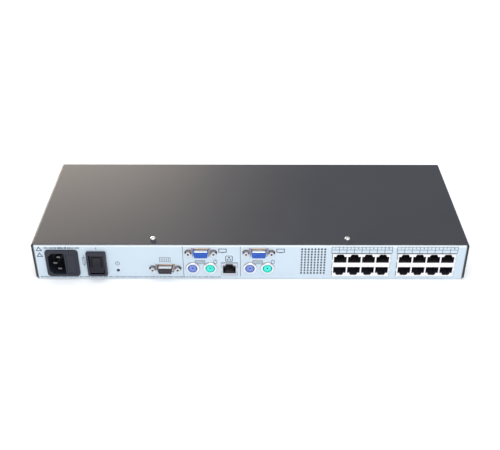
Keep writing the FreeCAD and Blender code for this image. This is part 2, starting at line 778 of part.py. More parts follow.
def jack_contacts(u, base, up):
    """Eight sprung wires that rise from the mouth's contact side towards the back."""
    wires = []
    pitch, slope = 1.02, 10.5
    for i in range(8):
        at = u + (i - 3.5) * pitch
        wire = block(at - 0.2, at + 0.2, 0, 10.2, -0.15, 0.15)
        wire.Placement.Rotation = FreeCAD.Rotation(FreeCAD.Vector(1, 0, 0), up * slope)
        bind(wire, "Placement.Base.y", -0.4)
        bind(wire, "Placement.Base.z", base + up * 0.4)
        wires.append(wire)
    return wires


def jack_block(name, x, z, columns, rows, low, high, margin, windows=None):
    """Modular jacks in one shielded block. columns and rows are their centres and (base, up) pairs,
    and windows are the shield's openings, where they aren't the mouths' own outlines."""
    at = (x, WALL_INSIDE, z)
    half = len(columns) * size.jack_pitch / 2 + margin
    mouths = [(u, base, up) for u in columns for base, up in rows]
    housing = Body(f"{name}_moulding")
    housing.pad("XZ", -1.75, 20, rectangle(-half, half, low, high))
    housing.pocket("XZ", -1.75, 13, *[jack_outline(*mouth) for mouth in mouths])
    subpart(housing.item, f"{name}_housing", *at)

    skin = 0.3
    shield = Body(f"{name}_stamping")
    shield.pad("XZ", -2.1, 20.4, rectangle(-half - skin, half + skin, low, high + skin))
    shield.pocket("XZ", -1.8, 20.05, rectangle(-half - 0.02, half + 0.02, low, high + 0.02))
    shield.pocket("XZ", -2.1, -1.8, *(windows or [jack_outline(*mouth) for mouth in mouths]))
    subpart(shield.item, f"{name}_shield", *at)
    subpart(group([w for mouth in mouths for w in jack_contacts(*mouth)]), f"{name}_contacts", *at)


def signal_ports():
    board = size.board_top
    d_port("serial_port", size.serial_along, size.serial_level, board, serial_contacts(), 0.6)
    for letter, console in (("a", size.console_one), ("b", size.console_two)):
        contacts = video_contacts()
        d_port(f"video_port_{letter}", console, size.video_level, size.video_board_top, contacts, 0.52)
        round_core(f"keyboard_port_{letter}", console - size.round_pitch / 2, size.round_level)
        round_core(f"mouse_port_{letter}", console + size.round_pitch / 2, size.round_level)
    jack_screws()
    subpart(group([round_shield(x, z) for x, z in ROUND_PORTS]), "round_port_shields")
    base, shoulder, sill, top = 3.4, 13, 14.1, 15.1
    right = [(6.4, base), (6.4, shoulder), (3.9, shoulder), (3.9, sill), (2.8, top)]
    window = right + [(-u, v) for u, v in reversed(right)]
    jack_block("remote_port", size.remote_along, board, [0], [(base, 1)], 0, 15.4, 0.7, [window])
    columns = [(i - 1.5) * size.jack_pitch for i in range(4)]
    rows = [(size.jack_base, 1), (-size.jack_drop, -1)]
    low = board - size.bank_level
    for bank, along in (("one", size.bank_one), ("two", size.bank_two)):
        jack_block(f"server_bank_{bank}", along, size.bank_level, columns, rows, low, 13.05, 0.2)


# ---- Boards and what they carry ------------------------------------------------------------------


def main_board():
    back = WALL_INSIDE + 0.5
    under = size.board_top - size.board_sheet
    board = Body("main_board_laminate")
    outline = [(-140, back), (210, back), (210, 58), (-112, 58), (-112, -48), (-140, -48)]
    board.pad("XY", under, size.board_top, outline)
    holes = [(x, y, 1.65) for x, y in BOARD_POSTS]
    board.pocket("XY", under, size.board_top, *holes)
    subpart(board.item, "main_board")

    posts = []
    for x, y in BOARD_POSTS:
        height = under - size.pan_sheet
        body = join(rod("z", x, y, size.pan_sheet, 3, height), rod("z", x, y, 0.2, 1.55, 1))
        posts.append(cut(body, rod("z", x, y, 0, 1.25, 6)))
    for x, y in SUPPLY_POSTS:
        height = size.supply_top - size.board_sheet - size.pan_sheet
        body = join(rod("z", x, y, size.pan_sheet, 3, height), rod("z", x, y, 0.2, 1.55, 1))
        posts.append(cut(body, rod("z", x, y, 0, 1.25, 12)))
    subpart(group(posts), "board_standoffs")
    fixings = [(x, y, size.board_top, 4) for x, y in BOARD_POSTS]
    fixings += [(x, y, size.supply_top, 5) for x, y in SUPPLY_POSTS]
    fixings += [(x, y, size.video_board_top, 4.5) for x, y in VIDEO_POSTS]
    screws = [machine_screw("z", x, y, top, 1, shank=1.25, length=deep) for x, y, top, deep in fixings]
    subpart(group(screws), "board_screws")


def chip(x, y, wide, deep, tall, level):
    return block(x - wide / 2, x + wide / 2, y - deep / 2, y + deep / 2, level, level + tall)


def board_parts():
    top = size.board_top
    chips = [
        chip(bank + (i - 1.5) * size.jack_pitch, y, 9, 7, 1.8, top)
        for bank in (size.bank_one, size.bank_two)
        for i in range(4)
        for y in (-44, -30)
    ]
    chips += [chip(x, y, 20, 20, 2.2, top) for x in (120, 160) for y in (-8, 26)]
    chips += [chip(x, 30, 18, 10, 1.2, top) for x in (-80, -56)]
    chips += [chip(HOT_CHIP[0], HOT_CHIP[1], 28, 28, 3.4, top), chip(20, -5, 24, 24, 2.4, top)]
    subpart(group(chips), "board_chips")

    sink = Body("heatsink_extrusion")
    base = top + 3.4
    left, front, side, fin = HOT_CHIP[0] - 14, HOT_CHIP[1] - 14, 28, 1.2
    crest = base + 14
    comb = [(left, base), (left + side, base), (left + side, crest)]
    for i in range(7, 0, -1):
        gap_right = left + i * (side - fin) / 7
        gap_left = gap_right - (side - fin) / 7 + fin
        comb += [(gap_right, crest), (gap_right, base + 3), (gap_left, base + 3), (gap_left, crest)]
    sink.pad("XZ", front, front + side, comb + [(left, crest)])
    subpart(sink.item, "heatsink")
    row = [(x, 6) for x in (-92, -84, -76)] + [(44, 30), (44, 40), (84, 10), (84, 20), (184, 0)]
    subpart(group([rod("z", x, y, top, 3.2, 8) for x, y in row]), "board_capacitors")


def video_board():
    """The small board that lifts both video ports over the keyboard and mouse ports."""
    top = size.video_board_top
    under = top - size.board_sheet
    board = Body("video_board_laminate")
    board.pad("XY", under, top, rectangle(-70.6, 30.4, WALL_INSIDE + 0.5, -40))
    board.pocket("XY", under, top, *[(x, y, 1.65) for x, y in VIDEO_POSTS])
    subpart(board.item, "video_board")
    posts = []
    for x, y in VIDEO_POSTS:
        post = rod("z", x, y, size.board_top, 2.6, under - size.board_top)
        posts.append(cut(post, rod("z", x, y, under - 6, 1.25, 7)))
    subpart(group(posts), "video_board_posts")
    subpart(group([block(-44, 4, -50, -45, size.board_top, under)]), "board_link")


def power_supply():
    top = size.supply_top
    under = top - size.board_sheet
    board = Body("supply_board_laminate")
    board.pad("XY", under, top, rectangle(-207, -124, -38, 73))
    board.pocket("XY", under, top, *[(x, y, 1.65) for x, y in SUPPLY_POSTS])
    subpart(board.item, "supply_board")
    windings = softened(chip(-166, 22, 20, 22, 17, top + 3), 3, lambda e: runs(e, "z"))
    core = cut(chip(-166, 22, 32, 14, 24, top), chip(-166, 22, 21, 15, 18, top + 2.6))
    subpart(core, "transformer_core")
    subpart(group([windings]), "transformer_winding")
    cans = [rod("z", -190, 2, top, 9, 25)]
    cans += [rod("z", x, y, top, 5, 20) for x, y in ((-144, 50), (-144, 38), (-156, 52))]
    subpart(group(cans), "supply_capacitors")
    sinks = [
        join(chip(x, y, 3, 34, 24, top), chip(x + 5, y + 14, 12, 3, 24, top))
        for x, y in ((-198, 40), (-142, 2))
    ]
    subpart(group(sinks), "supply_heatsinks")
    choke = Body("choke_winding")
    choke.pad("YZ", -176, -162, (-16, top + 9, 9))
    choke.pocket("YZ", -176, -162, (-16, top + 9, 3.6))
    choke.rounded(2, lambda e: near(e.BoundBox.YLength, 18))
    subpart(choke.item, "mains_choke")
    plugs = [
        chip(MAINS_PLUG[0], MAINS_PLUG[1], 22, 8, 10, top),
        chip(SUPPLY_PLUG[0], SUPPLY_PLUG[1], 7, 22, 10, top),
        chip(BOARD_PLUG[0], BOARD_PLUG[1], 7, 22, 10, size.board_top),
    ]
    subpart(group(plugs), "wire_headers")


# ---- Internal wiring -----------------------------------------------------------------------------


def lead(points, radius):
    """A round wire: straight runs joined by tangent arcs as large as their two runs allow."""
    spots = [FreeCAD.Vector(*[number(c) for c in point]) for point in points]
    edges, start = [], spots[0]
    for before, corner, after in zip(spots, spots[1:], spots[2:]):
        come, go = corner - before, after - corner
        turn = come.getAngle(go)
        reach = 0.45 * min(come.Length, go.Length)
        arc_radius = reach / math.tan(turn / 2)
        come.normalize()
        go.normalize()
        inward = (go - come).normalize()
        first, last = corner - come * reach, corner + go * reach
        crown = corner + inward * (arc_radius / math.cos(turn / 2) - arc_radius)
        edges += [Part.LineSegment(start, first).toShape(), Part.Arc(first, crown, last).toShape()]
        start = last
    edges.append(Part.LineSegment(start, spots[-1]).toShape())
    ring = Part.Wire(Part.Circle(spots[0], spots[1] - spots[0], radius).toShape())
    return Part.Wire(edges).makePipeShell([ring], True, False)


def leads(label, solids):
    item = doc.addObject("Part::Feature", "Leads")
    item.Shape = Part.makeCompound(solids)
    subpart(item, label)


def wiring():
    """Mains from inlet through switch to supply, the earth lead, and the low-voltage leads."""
    mains, thin = 1.1, 0.8
    inlet_y = FILM_BACK + 31.5
    inlet_x = size.inlet_along - 3.4
    switch_y = FILM_BACK + 27
    bend_y = inlet_y + 7
    pairs = []
    for side in (-1, 1):
        from_z, to_z = size.inlet_level + side * 7, size.rocker_level + side * 7
        to_x = size.rocker_along - 4
        route = [
            (inlet_x, inlet_y, from_z),
            (inlet_x, bend_y, from_z),
            (to_x, bend_y, to_z),
            (to_x, switch_y, to_z),
        ]
        pairs.append(lead(route, mains))
    leads("inlet_wires", pairs)

    x, z = size.rocker_along + 4, size.rocker_level
    plug_top = size.supply_top + PLUG_TALL
    plug_x, plug_y = MAINS_PLUG
    upper = [(x, switch_y, z + 7), (x, plug_y, z + 7), (x, plug_y, plug_top)]
    lower = [
        (x, switch_y, z - 7),
        (x, switch_y + 7, z - 7),
        (plug_x + 7, plug_y - 7, plug_top + 5),
        (plug_x + 7, plug_y, plug_top + 6),
        (plug_x + 7, plug_y, plug_top),
    ]
    leads("switch_wires", [lead(upper, mains), lead(lower, mains)])

    stud_x, stud_y = EARTH_STUD
    earth_x = inlet_x - 4
    route = [
        (earth_x, inlet_y, size.inlet_level),
        (earth_x, inlet_y + 5, size.inlet_level),
        (earth_x, inlet_y + 4, 3.2),
        (stud_x + 7, stud_y, size.pan_sheet + 1.9),
    ]
    floor = size.pan_sheet.value
    tongue = Part.makeBox(6, 2.4, 0.8, FreeCAD.Vector(stud_x + 2.5, stud_y - 1.2, floor))
    eye = Part.makeCylinder(3.8, 0.8, FreeCAD.Vector(stud_x, stud_y, floor)).fuse(tongue)
    eye = eye.cut(Part.makeCylinder(2, 0.8, FreeCAD.Vector(stud_x, stud_y, floor)))
    leads("earth_wire", [lead(route, mains).fuse(eye)])
    nut = hexagon("z", stud_x, stud_y, size.pan_sheet + 0.8, 4, 3)
    foot = rod("z", stud_x, stud_y, 0.2, 1.55, 2)
    subpart(join(foot, rod("z", stud_x, stud_y, size.pan_sheet, 1.9, 6), nut), "earth_stud")

    ribbon = []
    for i in range(5):
        y = SUPPLY_PLUG[1] + (i - 2) * 4
        left, right = SUPPLY_PLUG[0], BOARD_PLUG[0]
        crest, landing = plug_top + 9, size.board_top + PLUG_TALL
        route = [(left, y, plug_top), (left, y, crest), (right, y, crest), (right, y, landing)]
        ribbon.append(lead(route, thin))
    leads("supply_wires", ribbon)


def front_lamp():
    """A light pipe behind the front overlay's window."""
    back = WALL_FRONT - size.pan_sheet - 3
    x, z = size.window_along, size.window_level
    pipe = join(rod("y", x, back, z, 2.8, 3), rod("y", x, back + 3, z, 2, size.pan_sheet))
    subpart(pipe, "front_light_pipe")


base_pan()
top_cover()
overlay("rear_overlay", FILM_BACK, WALL_BACK, True)
overlay("front_overlay", WALL_FRONT, WALL_FRONT + size.label_film, False)
cover_screws()
mains_inlet()
power_switch()
power_lamp()
signal_ports()
main_board()
board_parts()
video_board()
power_supply()
wiring()
front_lamp()
doc.recompute()

failed = [item.Label for item in doc.Objects if {"Invalid", "Error"} & set(item.State)]
empty = [
    item.Label
    for item in subparts
    if item.Shape.isNull() or not item.Shape.isValid() or not item.Shape.Solids
]
if failed or empty:
    raise SystemExit(f"not written: failed {failed}, empty or invalid {empty}")
os.makedirs("parts", exist_ok=True)
for item in subparts:
    item.Shape.exportStep(f"parts/{item.Label}.step")
print(len(subparts), "sub-parts written")
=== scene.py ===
"""The KVM switch's looks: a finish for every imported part, and the detail pieces that ride on the case."""

import math

import bmesh
import bpy
from bpy.props import FloatProperty, FloatVectorProperty, IntProperty, PointerProperty
from mathutils import Matrix, Vector


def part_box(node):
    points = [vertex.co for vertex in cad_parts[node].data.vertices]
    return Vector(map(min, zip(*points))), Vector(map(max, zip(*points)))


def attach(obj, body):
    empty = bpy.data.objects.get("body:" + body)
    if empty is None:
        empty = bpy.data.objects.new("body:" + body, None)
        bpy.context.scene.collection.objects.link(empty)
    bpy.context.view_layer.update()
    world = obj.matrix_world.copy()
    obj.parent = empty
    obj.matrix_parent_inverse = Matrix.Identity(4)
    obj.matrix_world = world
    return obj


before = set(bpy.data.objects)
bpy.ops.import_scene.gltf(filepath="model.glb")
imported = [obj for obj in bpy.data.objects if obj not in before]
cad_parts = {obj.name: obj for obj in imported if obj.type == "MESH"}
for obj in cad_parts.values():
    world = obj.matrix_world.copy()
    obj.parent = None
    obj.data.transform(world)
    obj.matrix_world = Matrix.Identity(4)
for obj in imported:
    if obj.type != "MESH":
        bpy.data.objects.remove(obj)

bl_info = {
    "name": "KVM Switch",
    "version": (1, 0, 0),
    "blender": (4, 5, 0),
    "location": "3D View > Sidebar > KVM Switch",
    "description": "Finishes and detail pieces for a one-unit console switch",
    "category": "Add Mesh",
}

MM = 0.001
PORT_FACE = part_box("rear_overlay")[0].y
LOGIC_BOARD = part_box("main_board")
SUPPLY_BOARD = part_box("supply_board")
BANKS = ("server_bank_one", "server_bank_two")
PORT_CELLS = 8  # cells in the printed box over each bank
JACK_PITCH = 14 * MM
DIGIT_SHARE = 0.7  # a digit's height, as a share of its font size
SLEEVE_END = 4 * MM  # contact sleeves end this far behind their insulator's face
BANDS_PER_TURN = 0.314  # the wave texture's scale for one band in each metre
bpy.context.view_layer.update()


# ---- Sizes and colours ----


def colour(name, description, default):
    limits = {"size": 3, "min": 0, "max": 1}
    return FloatVectorProperty(name=name, description=description, subtype="COLOR", default=default, **limits)


def length(name, description, default):
    limits = {"unit": "LENGTH", "min": 0, "precision": 5}
    return FloatProperty(name=name, description=description, default=default, **limits)


class KvmColours(bpy.types.PropertyGroup):
    """Base colours of the finishes."""

    cover: colour("Cover", "Powder coat of the cover", (0.02, 0.0215, 0.03))
    panel: colour("Port face", "Printed film on the port wall", (0.55, 0.64, 0.715))
    ink: colour("Ink", "Marks printed on the port face", (0.035, 0.045, 0.07))
    zinc: colour("Zinc", "Plated sheet of the base pan", (0.66, 0.69, 0.72))
    inlet: colour("Inlet", "Mains inlet and fuse drawer", (0.016, 0.018, 0.029))
    switch: colour("Switch", "Power switch frame and rocker", (0.006, 0.005, 0.012))
    video: colour("Video ports", "Insulators of the video ports", (0.002, 0.085, 0.48))
    keyboard: colour("Keyboard ports", "Insulators of the keyboard ports", (0.18, 0.26, 0.66))
    mouse: colour("Mouse ports", "Insulators of the mouse ports", (0.05, 0.8, 0.68))
    board: colour("Boards", "Solder mask of the boards", (0.012, 0.1, 0.04))


class KvmSizes(bpy.types.PropertyGroup):
    """Sizes of the detail pieces."""

    ink: length("Ink", "How far a printed mark stands off the film", 0.03 * MM)
    line: length("Line", "Width of a printed line", 0.45 * MM)
    digit: length("Digit", "Height of a port's number", 2.2 * MM)
    leaf: length("Shield spring", "How far a shield's side springs stand out", 0.75 * MM)
    pin: length("Pin", "Width of a chip's pin", 0.4 * MM)
    turns: IntProperty(name="Choke turns", description="Turns of wire on the mains choke", min=4, default=22)


# ---- Shader expressions ----


def operation(kind, swapped=False):
    """A method of Value that adds one Math node, with its two inputs swapped if asked."""

    def method(self, other):
        first, second = (other, self) if swapped else (self, other)
        return self.finish.node("ShaderNodeMath", {"operation": kind}, {0: first, 1: second})

    return method


class Value:
    """A node's output in an expression: arithmetic on it adds Math nodes."""

    def __init__(self, finish, socket):
        self.finish = finish
        self.socket = socket

    __add__ = __radd__ = operation("ADD")
    __mul__ = __rmul__ = operation("MULTIPLY")
    __sub__ = operation("SUBTRACT")
    __rsub__ = operation("SUBTRACT", swapped=True)
    __gt__ = operation("GREATER_THAN")
    __lt__ = operation("LESS_THAN")


class Finish:
    """A procedural material around one Principled shader, whose constants are given by socket name."""

    def __init__(self, name, **constants):
        self.material = bpy.data.materials.new(name)
        self.material.use_nodes = True
        self.tree = self.material.node_tree
        self.shader = next(n for n in self.tree.nodes if n.type == "BSDF_PRINCIPLED")
        for socket, value in constants.items():
            self.shader.inputs[socket.replace("_", " ")].default_value = value

    def node(self, kind, settings, sockets, output=0):
        """Adds a node: its settings first, then a value or a link for each socket."""
        node = self.tree.nodes.new(kind)
        for name, setting in settings.items():
            if name == "stops":
                self.set_stops(node.color_ramp, setting)
            else:
                setattr(node, name, setting)
        for key, value in sockets.items():
            if isinstance(value, Value):
                self.tree.links.new(value.socket, node.inputs[key])
            else:
                node.inputs[key].default_value = value
        return Value(self, node.outputs[output])

    @staticmethod
    def set_stops(ramp, stops):
        while len(ramp.elements) < len(stops):
            ramp.elements.new(0.5)
        for element, (position, shade) in zip(ramp.elements, stops):
            element.position = position
            element.color = (shade, shade, shade, 1)

    def at(self, x=1.0, y=1.0, z=1.0):
        """The object's own coordinates in metres, stretched along each axis."""
        place = self.node("ShaderNodeTexCoord", {}, {}, "Object")
        return self.node("ShaderNodeVectorMath", {"operation": "MULTIPLY"}, {0: place, 1: (x, y, z)})

    def level(self, axis):
        """How far along an axis of the object's own coordinates a point lies, in metres."""
        return self.node("ShaderNodeSeparateXYZ", {}, {0: self.at()}, axis)

    def band(self, value, low, high):
        """1 where a value lies between two levels, else 0."""
        return (value > low) * (value < high)

    def noise(self, grain, detail=3.0, where=None):
        """Cloudy noise from 0 to 1 whose features are about grain metres across."""
        sockets = {"Vector": where or self.at(), "Scale": 1 / grain, "Detail": detail}
        return self.node("ShaderNodeTexNoise", {}, sockets, "Fac")

    def cells(self, size, feature="F1", randomness=1.0, where=None):
        """Distance from the nearest cell's middle, or from its edge, on cells size metres across."""
        sockets = {"Vector": where or self.at(), "Scale": 1 / size, "Randomness": randomness}
        return self.node("ShaderNodeTexVoronoi", {"feature": feature}, sockets, "Distance")

    def ramp(self, value, *stops):
        return self.node("ShaderNodeValToRGB", {"stops": stops}, {"Fac": value})

    def mix(self, first, second, factor):
        """Blends two colours."""
        sockets = {0: factor, 6: self.opaque(first), 7: self.opaque(second)}
        return self.node("ShaderNodeMix", {"data_type": "RGBA"}, sockets, 2)

    def shades(self, shade, dark, light, factor):
        """Blends a darker and a lighter version of a colour."""
        return self.mix(tint(shade, dark), tint(shade, light), factor)

    @staticmethod
    def opaque(shade):
        return shade if isinstance(shade, Value) else (*tuple(shade)[:3], 1)

    def feed(self, **links):
        """Links what varies over the surface into the shader's sockets."""
        for name, value in links.items():
            self.tree.links.new(value.socket, self.shader.inputs[name.replace("_", " ")])

    def coat(self, tone, rough, height, depth, strength):
        """Feeds a colour, a roughness and a relief, and gives the finished material."""
        self.feed(Base_Color=tone, Roughness=rough)
        return self.relief(height, depth, strength)

    def relief(self, height, depth, strength):
        """Turns a height from 0 to 1 into relief depth metres deep, and gives the finished material."""
        sockets = {"Strength": strength, "Distance": depth, "Height": height}
        self.feed(Normal=self.node("ShaderNodeBump", {}, sockets, "Normal"))
        return self.material


def tint(shade, amount):
    """A darker or lighter version of a colour."""
    return tuple(min(1, c * amount) for c in tuple(shade)[:3])


# ---- Finishes ----


def powder_coat(name, shade):
    """Satin black powder coat: fine orange peel, faint handling haze, and a few hairline scuffs."""
    finish = Finish(name, Specular_IOR_Level=0.5)
    peel = finish.noise(0.9 * MM, 4)
    haze = finish.noise(55 * MM, 5)
    wiped = finish.noise(3 * MM, 3, finish.at(0.12, 1, 1))
    hairline = finish.ramp(finish.noise(0.8 * MM, 2, finish.at(0.02, 1, 0.4)), (0.72, 0), (0.77, 1))
    rare = hairline * finish.ramp(finish.noise(24 * MM, 2), (0.62, 0), (0.7, 1))
    base = finish.shades(shade, 0.86, 1.22, haze)
    tone = finish.mix(base, (0.12, 0.12, 0.12), rare * 0.5)
    rough = 0.34 + haze * 0.1 + wiped * 0.05 - rare * 0.06
    return finish.coat(tone, rough, peel * 0.8 + rare * 0.4, 0.02 * MM, 0.5)


def printed_film(name, shade):
    """Satin polyester film with a fine pearl grain, slightly uneven tone, and a painted highlight along its
    top edge.
    """
    finish = Finish(name, Specular_IOR_Level=0.45, Coat_Roughness=0.25, Coat_Weight=0.08)
    cloud = finish.noise(38 * MM, 3)
    pearl = finish.noise(0.22 * MM, 2)
    # Painted highlight: a pale band along the film's top edge stands for the light caught under the cover's
    # edge.
    painted_highlight_rim = finish.level("Z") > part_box("rear_overlay")[1].z - 1.3 * MM
    base = finish.mix(finish.shades(shade, 0.955, 1, cloud), tint(shade, 1.06), pearl * 0.7)
    tone = finish.mix(base, (0.92, 0.95, 0.99), painted_highlight_rim * 0.75)
    return finish.coat(tone, 0.36 + cloud * 0.08 + pearl * 0.08, pearl, 0.006 * MM, 0.4)


def zinc_plate(name, shade):
    """Bright zinc-plated sheet: rolled grain and soft cloudy spangle, with painted shade making it dark on
    the folds at both ends.
    """
    finish = Finish(name, Metallic=0.85)
    grain = finish.noise(0.5 * MM, 3, finish.at(0.03, 1, 1))
    spangle = finish.cells(9 * MM)
    cloud = finish.noise(30 * MM, 4)
    film_low, film_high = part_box("rear_overlay")
    # Painted shade: beyond the film's ends the sheet is painted dark for the shadow between film and cover.
    clear_of_painted_shade = finish.band(finish.level("X"), film_low.x - 0.1 * MM, film_high.x + 0.1 * MM)
    sheet = finish.shades(shade, 0.86, 1.1, grain * 0.4 + cloud * 0.6)
    tone = finish.mix(tint(shade, 0.22), sheet, clear_of_painted_shade)
    return finish.coat(tone, 0.34 + spangle * 0.08 + grain * 0.1, grain, 0.01 * MM, 0.35)


def plated(name, shade, rough=0.24, streak=(1, 0.05, 1)):
    """Plated sheet or pins: bright metal with draw marks and small smudges."""
    finish = Finish(name, Metallic=1.0)
    marks = finish.noise(0.35 * MM, 3, finish.at(*streak))
    smudge = finish.noise(4 * MM, 4)
    tone = finish.shades(shade, 0.82, 1.04, smudge * 0.5 + marks * 0.5)
    return finish.coat(tone, rough + marks * 0.12 + smudge * 0.08, marks, 0.008 * MM, 0.4)


def drawn_shell(name, shade, middle):
    """Tinned D shell: bright in front, a painted shade line round its root, and a flange painted dark at its
    screws for their shadow, with a painted warm reflection above the shell.
    """
    finish = Finish(name, Metallic=1.0)
    marks = finish.noise(0.35 * MM, 3, finish.at(1, 0.05, 1))
    smudge = finish.noise(4 * MM, 4)
    along = finish.level("Y")
    # Painted shade: a dark band round the shell's root.
    painted_root_shade = finish.band(along, PORT_FACE - 1.7 * MM, PORT_FACE - 0.9 * MM)
    flange = along > PORT_FACE - 0.9 * MM
    # Painted reflection: a warm pale zone on the flange above the shell; elsewhere the flange is painted dark
    # for the shadow at its screws.
    painted_reflection_zone = finish.band(finish.level("X"), middle.x - 8 * MM, middle.x + 8 * MM)
    painted_reflection_zone = painted_reflection_zone * (finish.level("Z") > middle.z)
    bright = finish.shades(shade, 0.86, 1.06, smudge * 0.5 + marks * 0.5)
    painted_flange_shadow_and_reflection = finish.mix((0.34, 0.3, 0.3), (0.8, 0.68, 0.6), painted_reflection_zone)
    tone = finish.mix(finish.mix(bright, painted_flange_shadow_and_reflection, flange), (0.16, 0.13, 0.13), painted_root_shade)
    return finish.coat(tone, 0.22 + marks * 0.12 + flange * 0.15, marks, 0.008 * MM, 0.4)


def tinned_shield(name):
    """Bright tin-plated shield of the modular jacks, soft enough to look nearly white in open light."""
    finish = Finish(name, Metallic=0.55, Specular_IOR_Level=0.6)
    marks = finish.noise(0.6 * MM, 3, finish.at(0.08, 1, 1))
    smudge = finish.noise(5 * MM, 4)
    tone = finish.mix((0.79, 0.775, 0.775), (0.9, 0.885, 0.88), smudge * 0.6 + marks * 0.4)
    return finish.coat(tone, 0.28 + marks * 0.14, marks, 0.01 * MM, 0.4)


def moulded(name, shade, rough=0.42, grain=0.28, depth=0.012, spread=0.1, gloss=0.5):
    """Moulded thermoplastic: spark-eroded grain and slight flow marks."""
    finish = Finish(name, Specular_IOR_Level=gloss)
    texture = finish.noise(grain * MM, 3)
    flow = finish.noise(7 * MM, 3, finish.at(1, 0.4, 0.5))
    tone = finish.shades(shade, 1 - spread, 1 + spread * 1.4, flow)
    return finish.coat(tone, rough + texture * 0.12 - flow * 0.06, texture, depth * MM, 0.6)


def ink(name, shade):
    """Screen ink: matt, with a slightly patchy lay-down."""
    finish = Finish(name, Specular_IOR_Level=0.25)
    patch = finish.noise(0.6 * MM, 2)
    finish.feed(Base_Color=finish.shades(shade, 0.85, 1.35, patch), Roughness=0.55 + patch * 0.15)
    return finish.material


def lamp_epoxy(name):
    """Unlit tinted lamp: dark glossy epoxy with a faint green depth."""
    finish = Finish(name, Specular_IOR_Level=0.3, Coat_Weight=0.15, Coat_Roughness=0.05)
    depth = finish.noise(0.7 * MM, 2)
    shade = finish.mix((0.002, 0.004, 0.004), (0.004, 0.01, 0.007), depth)
    finish.feed(Base_Color=shade, Roughness=0.16 + depth * 0.08)
    return finish.material


def solder_mask(name, shade):
    """Solder mask over copper: a web of tracks under the mask, and rows of tinned vias."""
    finish = Finish(name, Specular_IOR_Level=0.5)
    flat = finish.at(1, 1, 0)
    tracks = finish.cells(2.4 * MM, "DISTANCE_TO_EDGE", 0.85, flat) < 0.07
    vias = finish.cells(3.1 * MM, "F1", 0.35, flat) < 0.1
    pour = finish.ramp(finish.noise(26 * MM, 1, flat), (0.5, 0), (0.52, 1))
    mask = finish.shades(shade, 0.85, 1.9, tracks * 0.7 + pour * 0.3)
    finish.feed(
        Base_Color=finish.mix(mask, (0.7, 0.7, 0.68), vias),
        Metallic=vias * 0.9,
        Roughness=0.34 - tracks * 0.06 - vias * 0.05,
    )
    return finish.relief(tracks + vias, 0.03 * MM, 0.5)


def bare_laminate(name, shade):
    """Tan paper laminate with a faint weave and scorched patches, spread at random."""
    finish = Finish(name, Specular_IOR_Level=0.35)
    weave = finish.cells(0.8 * MM, "F1", 0.15, finish.at(1, 1, 0))
    warm = finish.noise(24 * MM, 3)
    tone = finish.shades(shade, 0.7, 1.15, warm * 0.7 + weave * 0.3)
    return finish.coat(tone, 0.5 + weave * 0.15, weave, 0.02 * MM, 0.5)


def sintered(name, shade):
    """Ferrite or epoxy chip bodies: dark, with a fine pitted grain."""
    finish = Finish(name, Specular_IOR_Level=0.4)
    pits = finish.cells(0.5 * MM)
    stain = finish.noise(6 * MM, 3)
    tone = finish.shades(shade, 0.8, 1.5, stain * 0.5 + pits * 0.5)
    return finish.coat(tone, 0.5 + pits * 0.2, pits, 0.03 * MM, 0.5)


def wrapped(name, shade, pitch, axis="z"):
    """Tape, sleeve or enamelled wire laid on in turns along an axis."""
    finish = Finish(name, Specular_IOR_Level=0.5, Coat_Weight=0.35, Coat_Roughness=0.18)
    settings = {"wave_type": "BANDS", "bands_direction": axis.upper()}
    sockets = {"Vector": finish.at(), "Scale": BANDS_PER_TURN / (pitch * MM)}
    turns = finish.node("ShaderNodeTexWave", settings, sockets, "Fac")
    scuff = finish.noise(2.5 * MM, 3)
    tone = finish.shades(shade, 0.72, 1.15, turns * 0.5 + scuff * 0.5)
    return finish.coat(tone, 0.28 + scuff * 0.16, turns, 0.05 * MM, 0.5)


def insulation(name, shade):
    """Flexible wire insulation: soft sheen, faint extrusion lines and dust."""
    finish = Finish(name, Specular_IOR_Level=0.4, Sheen_Weight=0.15)
    dust = finish.noise(1.6 * MM, 4)
    tone = finish.shades(shade, 0.85, 1.25, dust)
    return finish.coat(tone, 0.4 + dust * 0.15, dust, 0.01 * MM, 0.4)


def clear(name, shade, see_through):
    """Glass or acrylic: clear, a little hazier in patches."""
    finish = Finish(name, IOR=1.49, Alpha=see_through, Transmission_Weight=0.6)
    haze = finish.noise(2.2 * MM, 3)
    finish.feed(Base_Color=finish.shades(shade, 0.94, 1, haze), Roughness=0.05 + haze * 0.08)
    return finish.material


def studio_paper(name):
    """Pale seamless paper under the object."""
    finish = Finish(name, Specular_IOR_Level=0.15, Emission_Color=(1, 1, 1, 1), Emission_Strength=0.12)
    fibre = finish.noise(2.2 * MM, 4)
    tone = finish.mix((0.86, 0.87, 0.89), (0.9, 0.905, 0.92), fibre)
    return finish.coat(tone, 0.75 + fibre * 0.1, fibre, 0.03 * MM, 0.2)


def dress(material, *names):
    """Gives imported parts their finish."""
    for name in names:
        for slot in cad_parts[name].material_slots:
            slot.material = material


# ---- Mesh helpers ----


def point(axis, u, v, along):
    """A point from two flat coordinates, in the order of their axes, and one along the third axis."""
    return {"x": (along, u, v), "y": (u, along, v), "z": (u, v, along)}[axis]


def circle(u, v, radius, steps=24):
    turns = [2 * math.pi * i / steps for i in range(steps)]
    return [(u + radius * math.cos(turn), v + radius * math.sin(turn)) for turn in turns]


def bar(u, v, wide, tall):
    """An upright rectangle from its middle and its half sizes."""
    return u - wide, u + wide, v - tall, v + tall


def outlined(u0, u1, v0, v1, line):
    """The four sides of a rectangle, as rectangles."""
    uprights = [(u0, u0 + line, v0, v1), (u1 - line, u1, v0, v1)]
    return [(u0, u1, v0, v0 + line), (u0, u1, v1 - line, v1), *uprights]


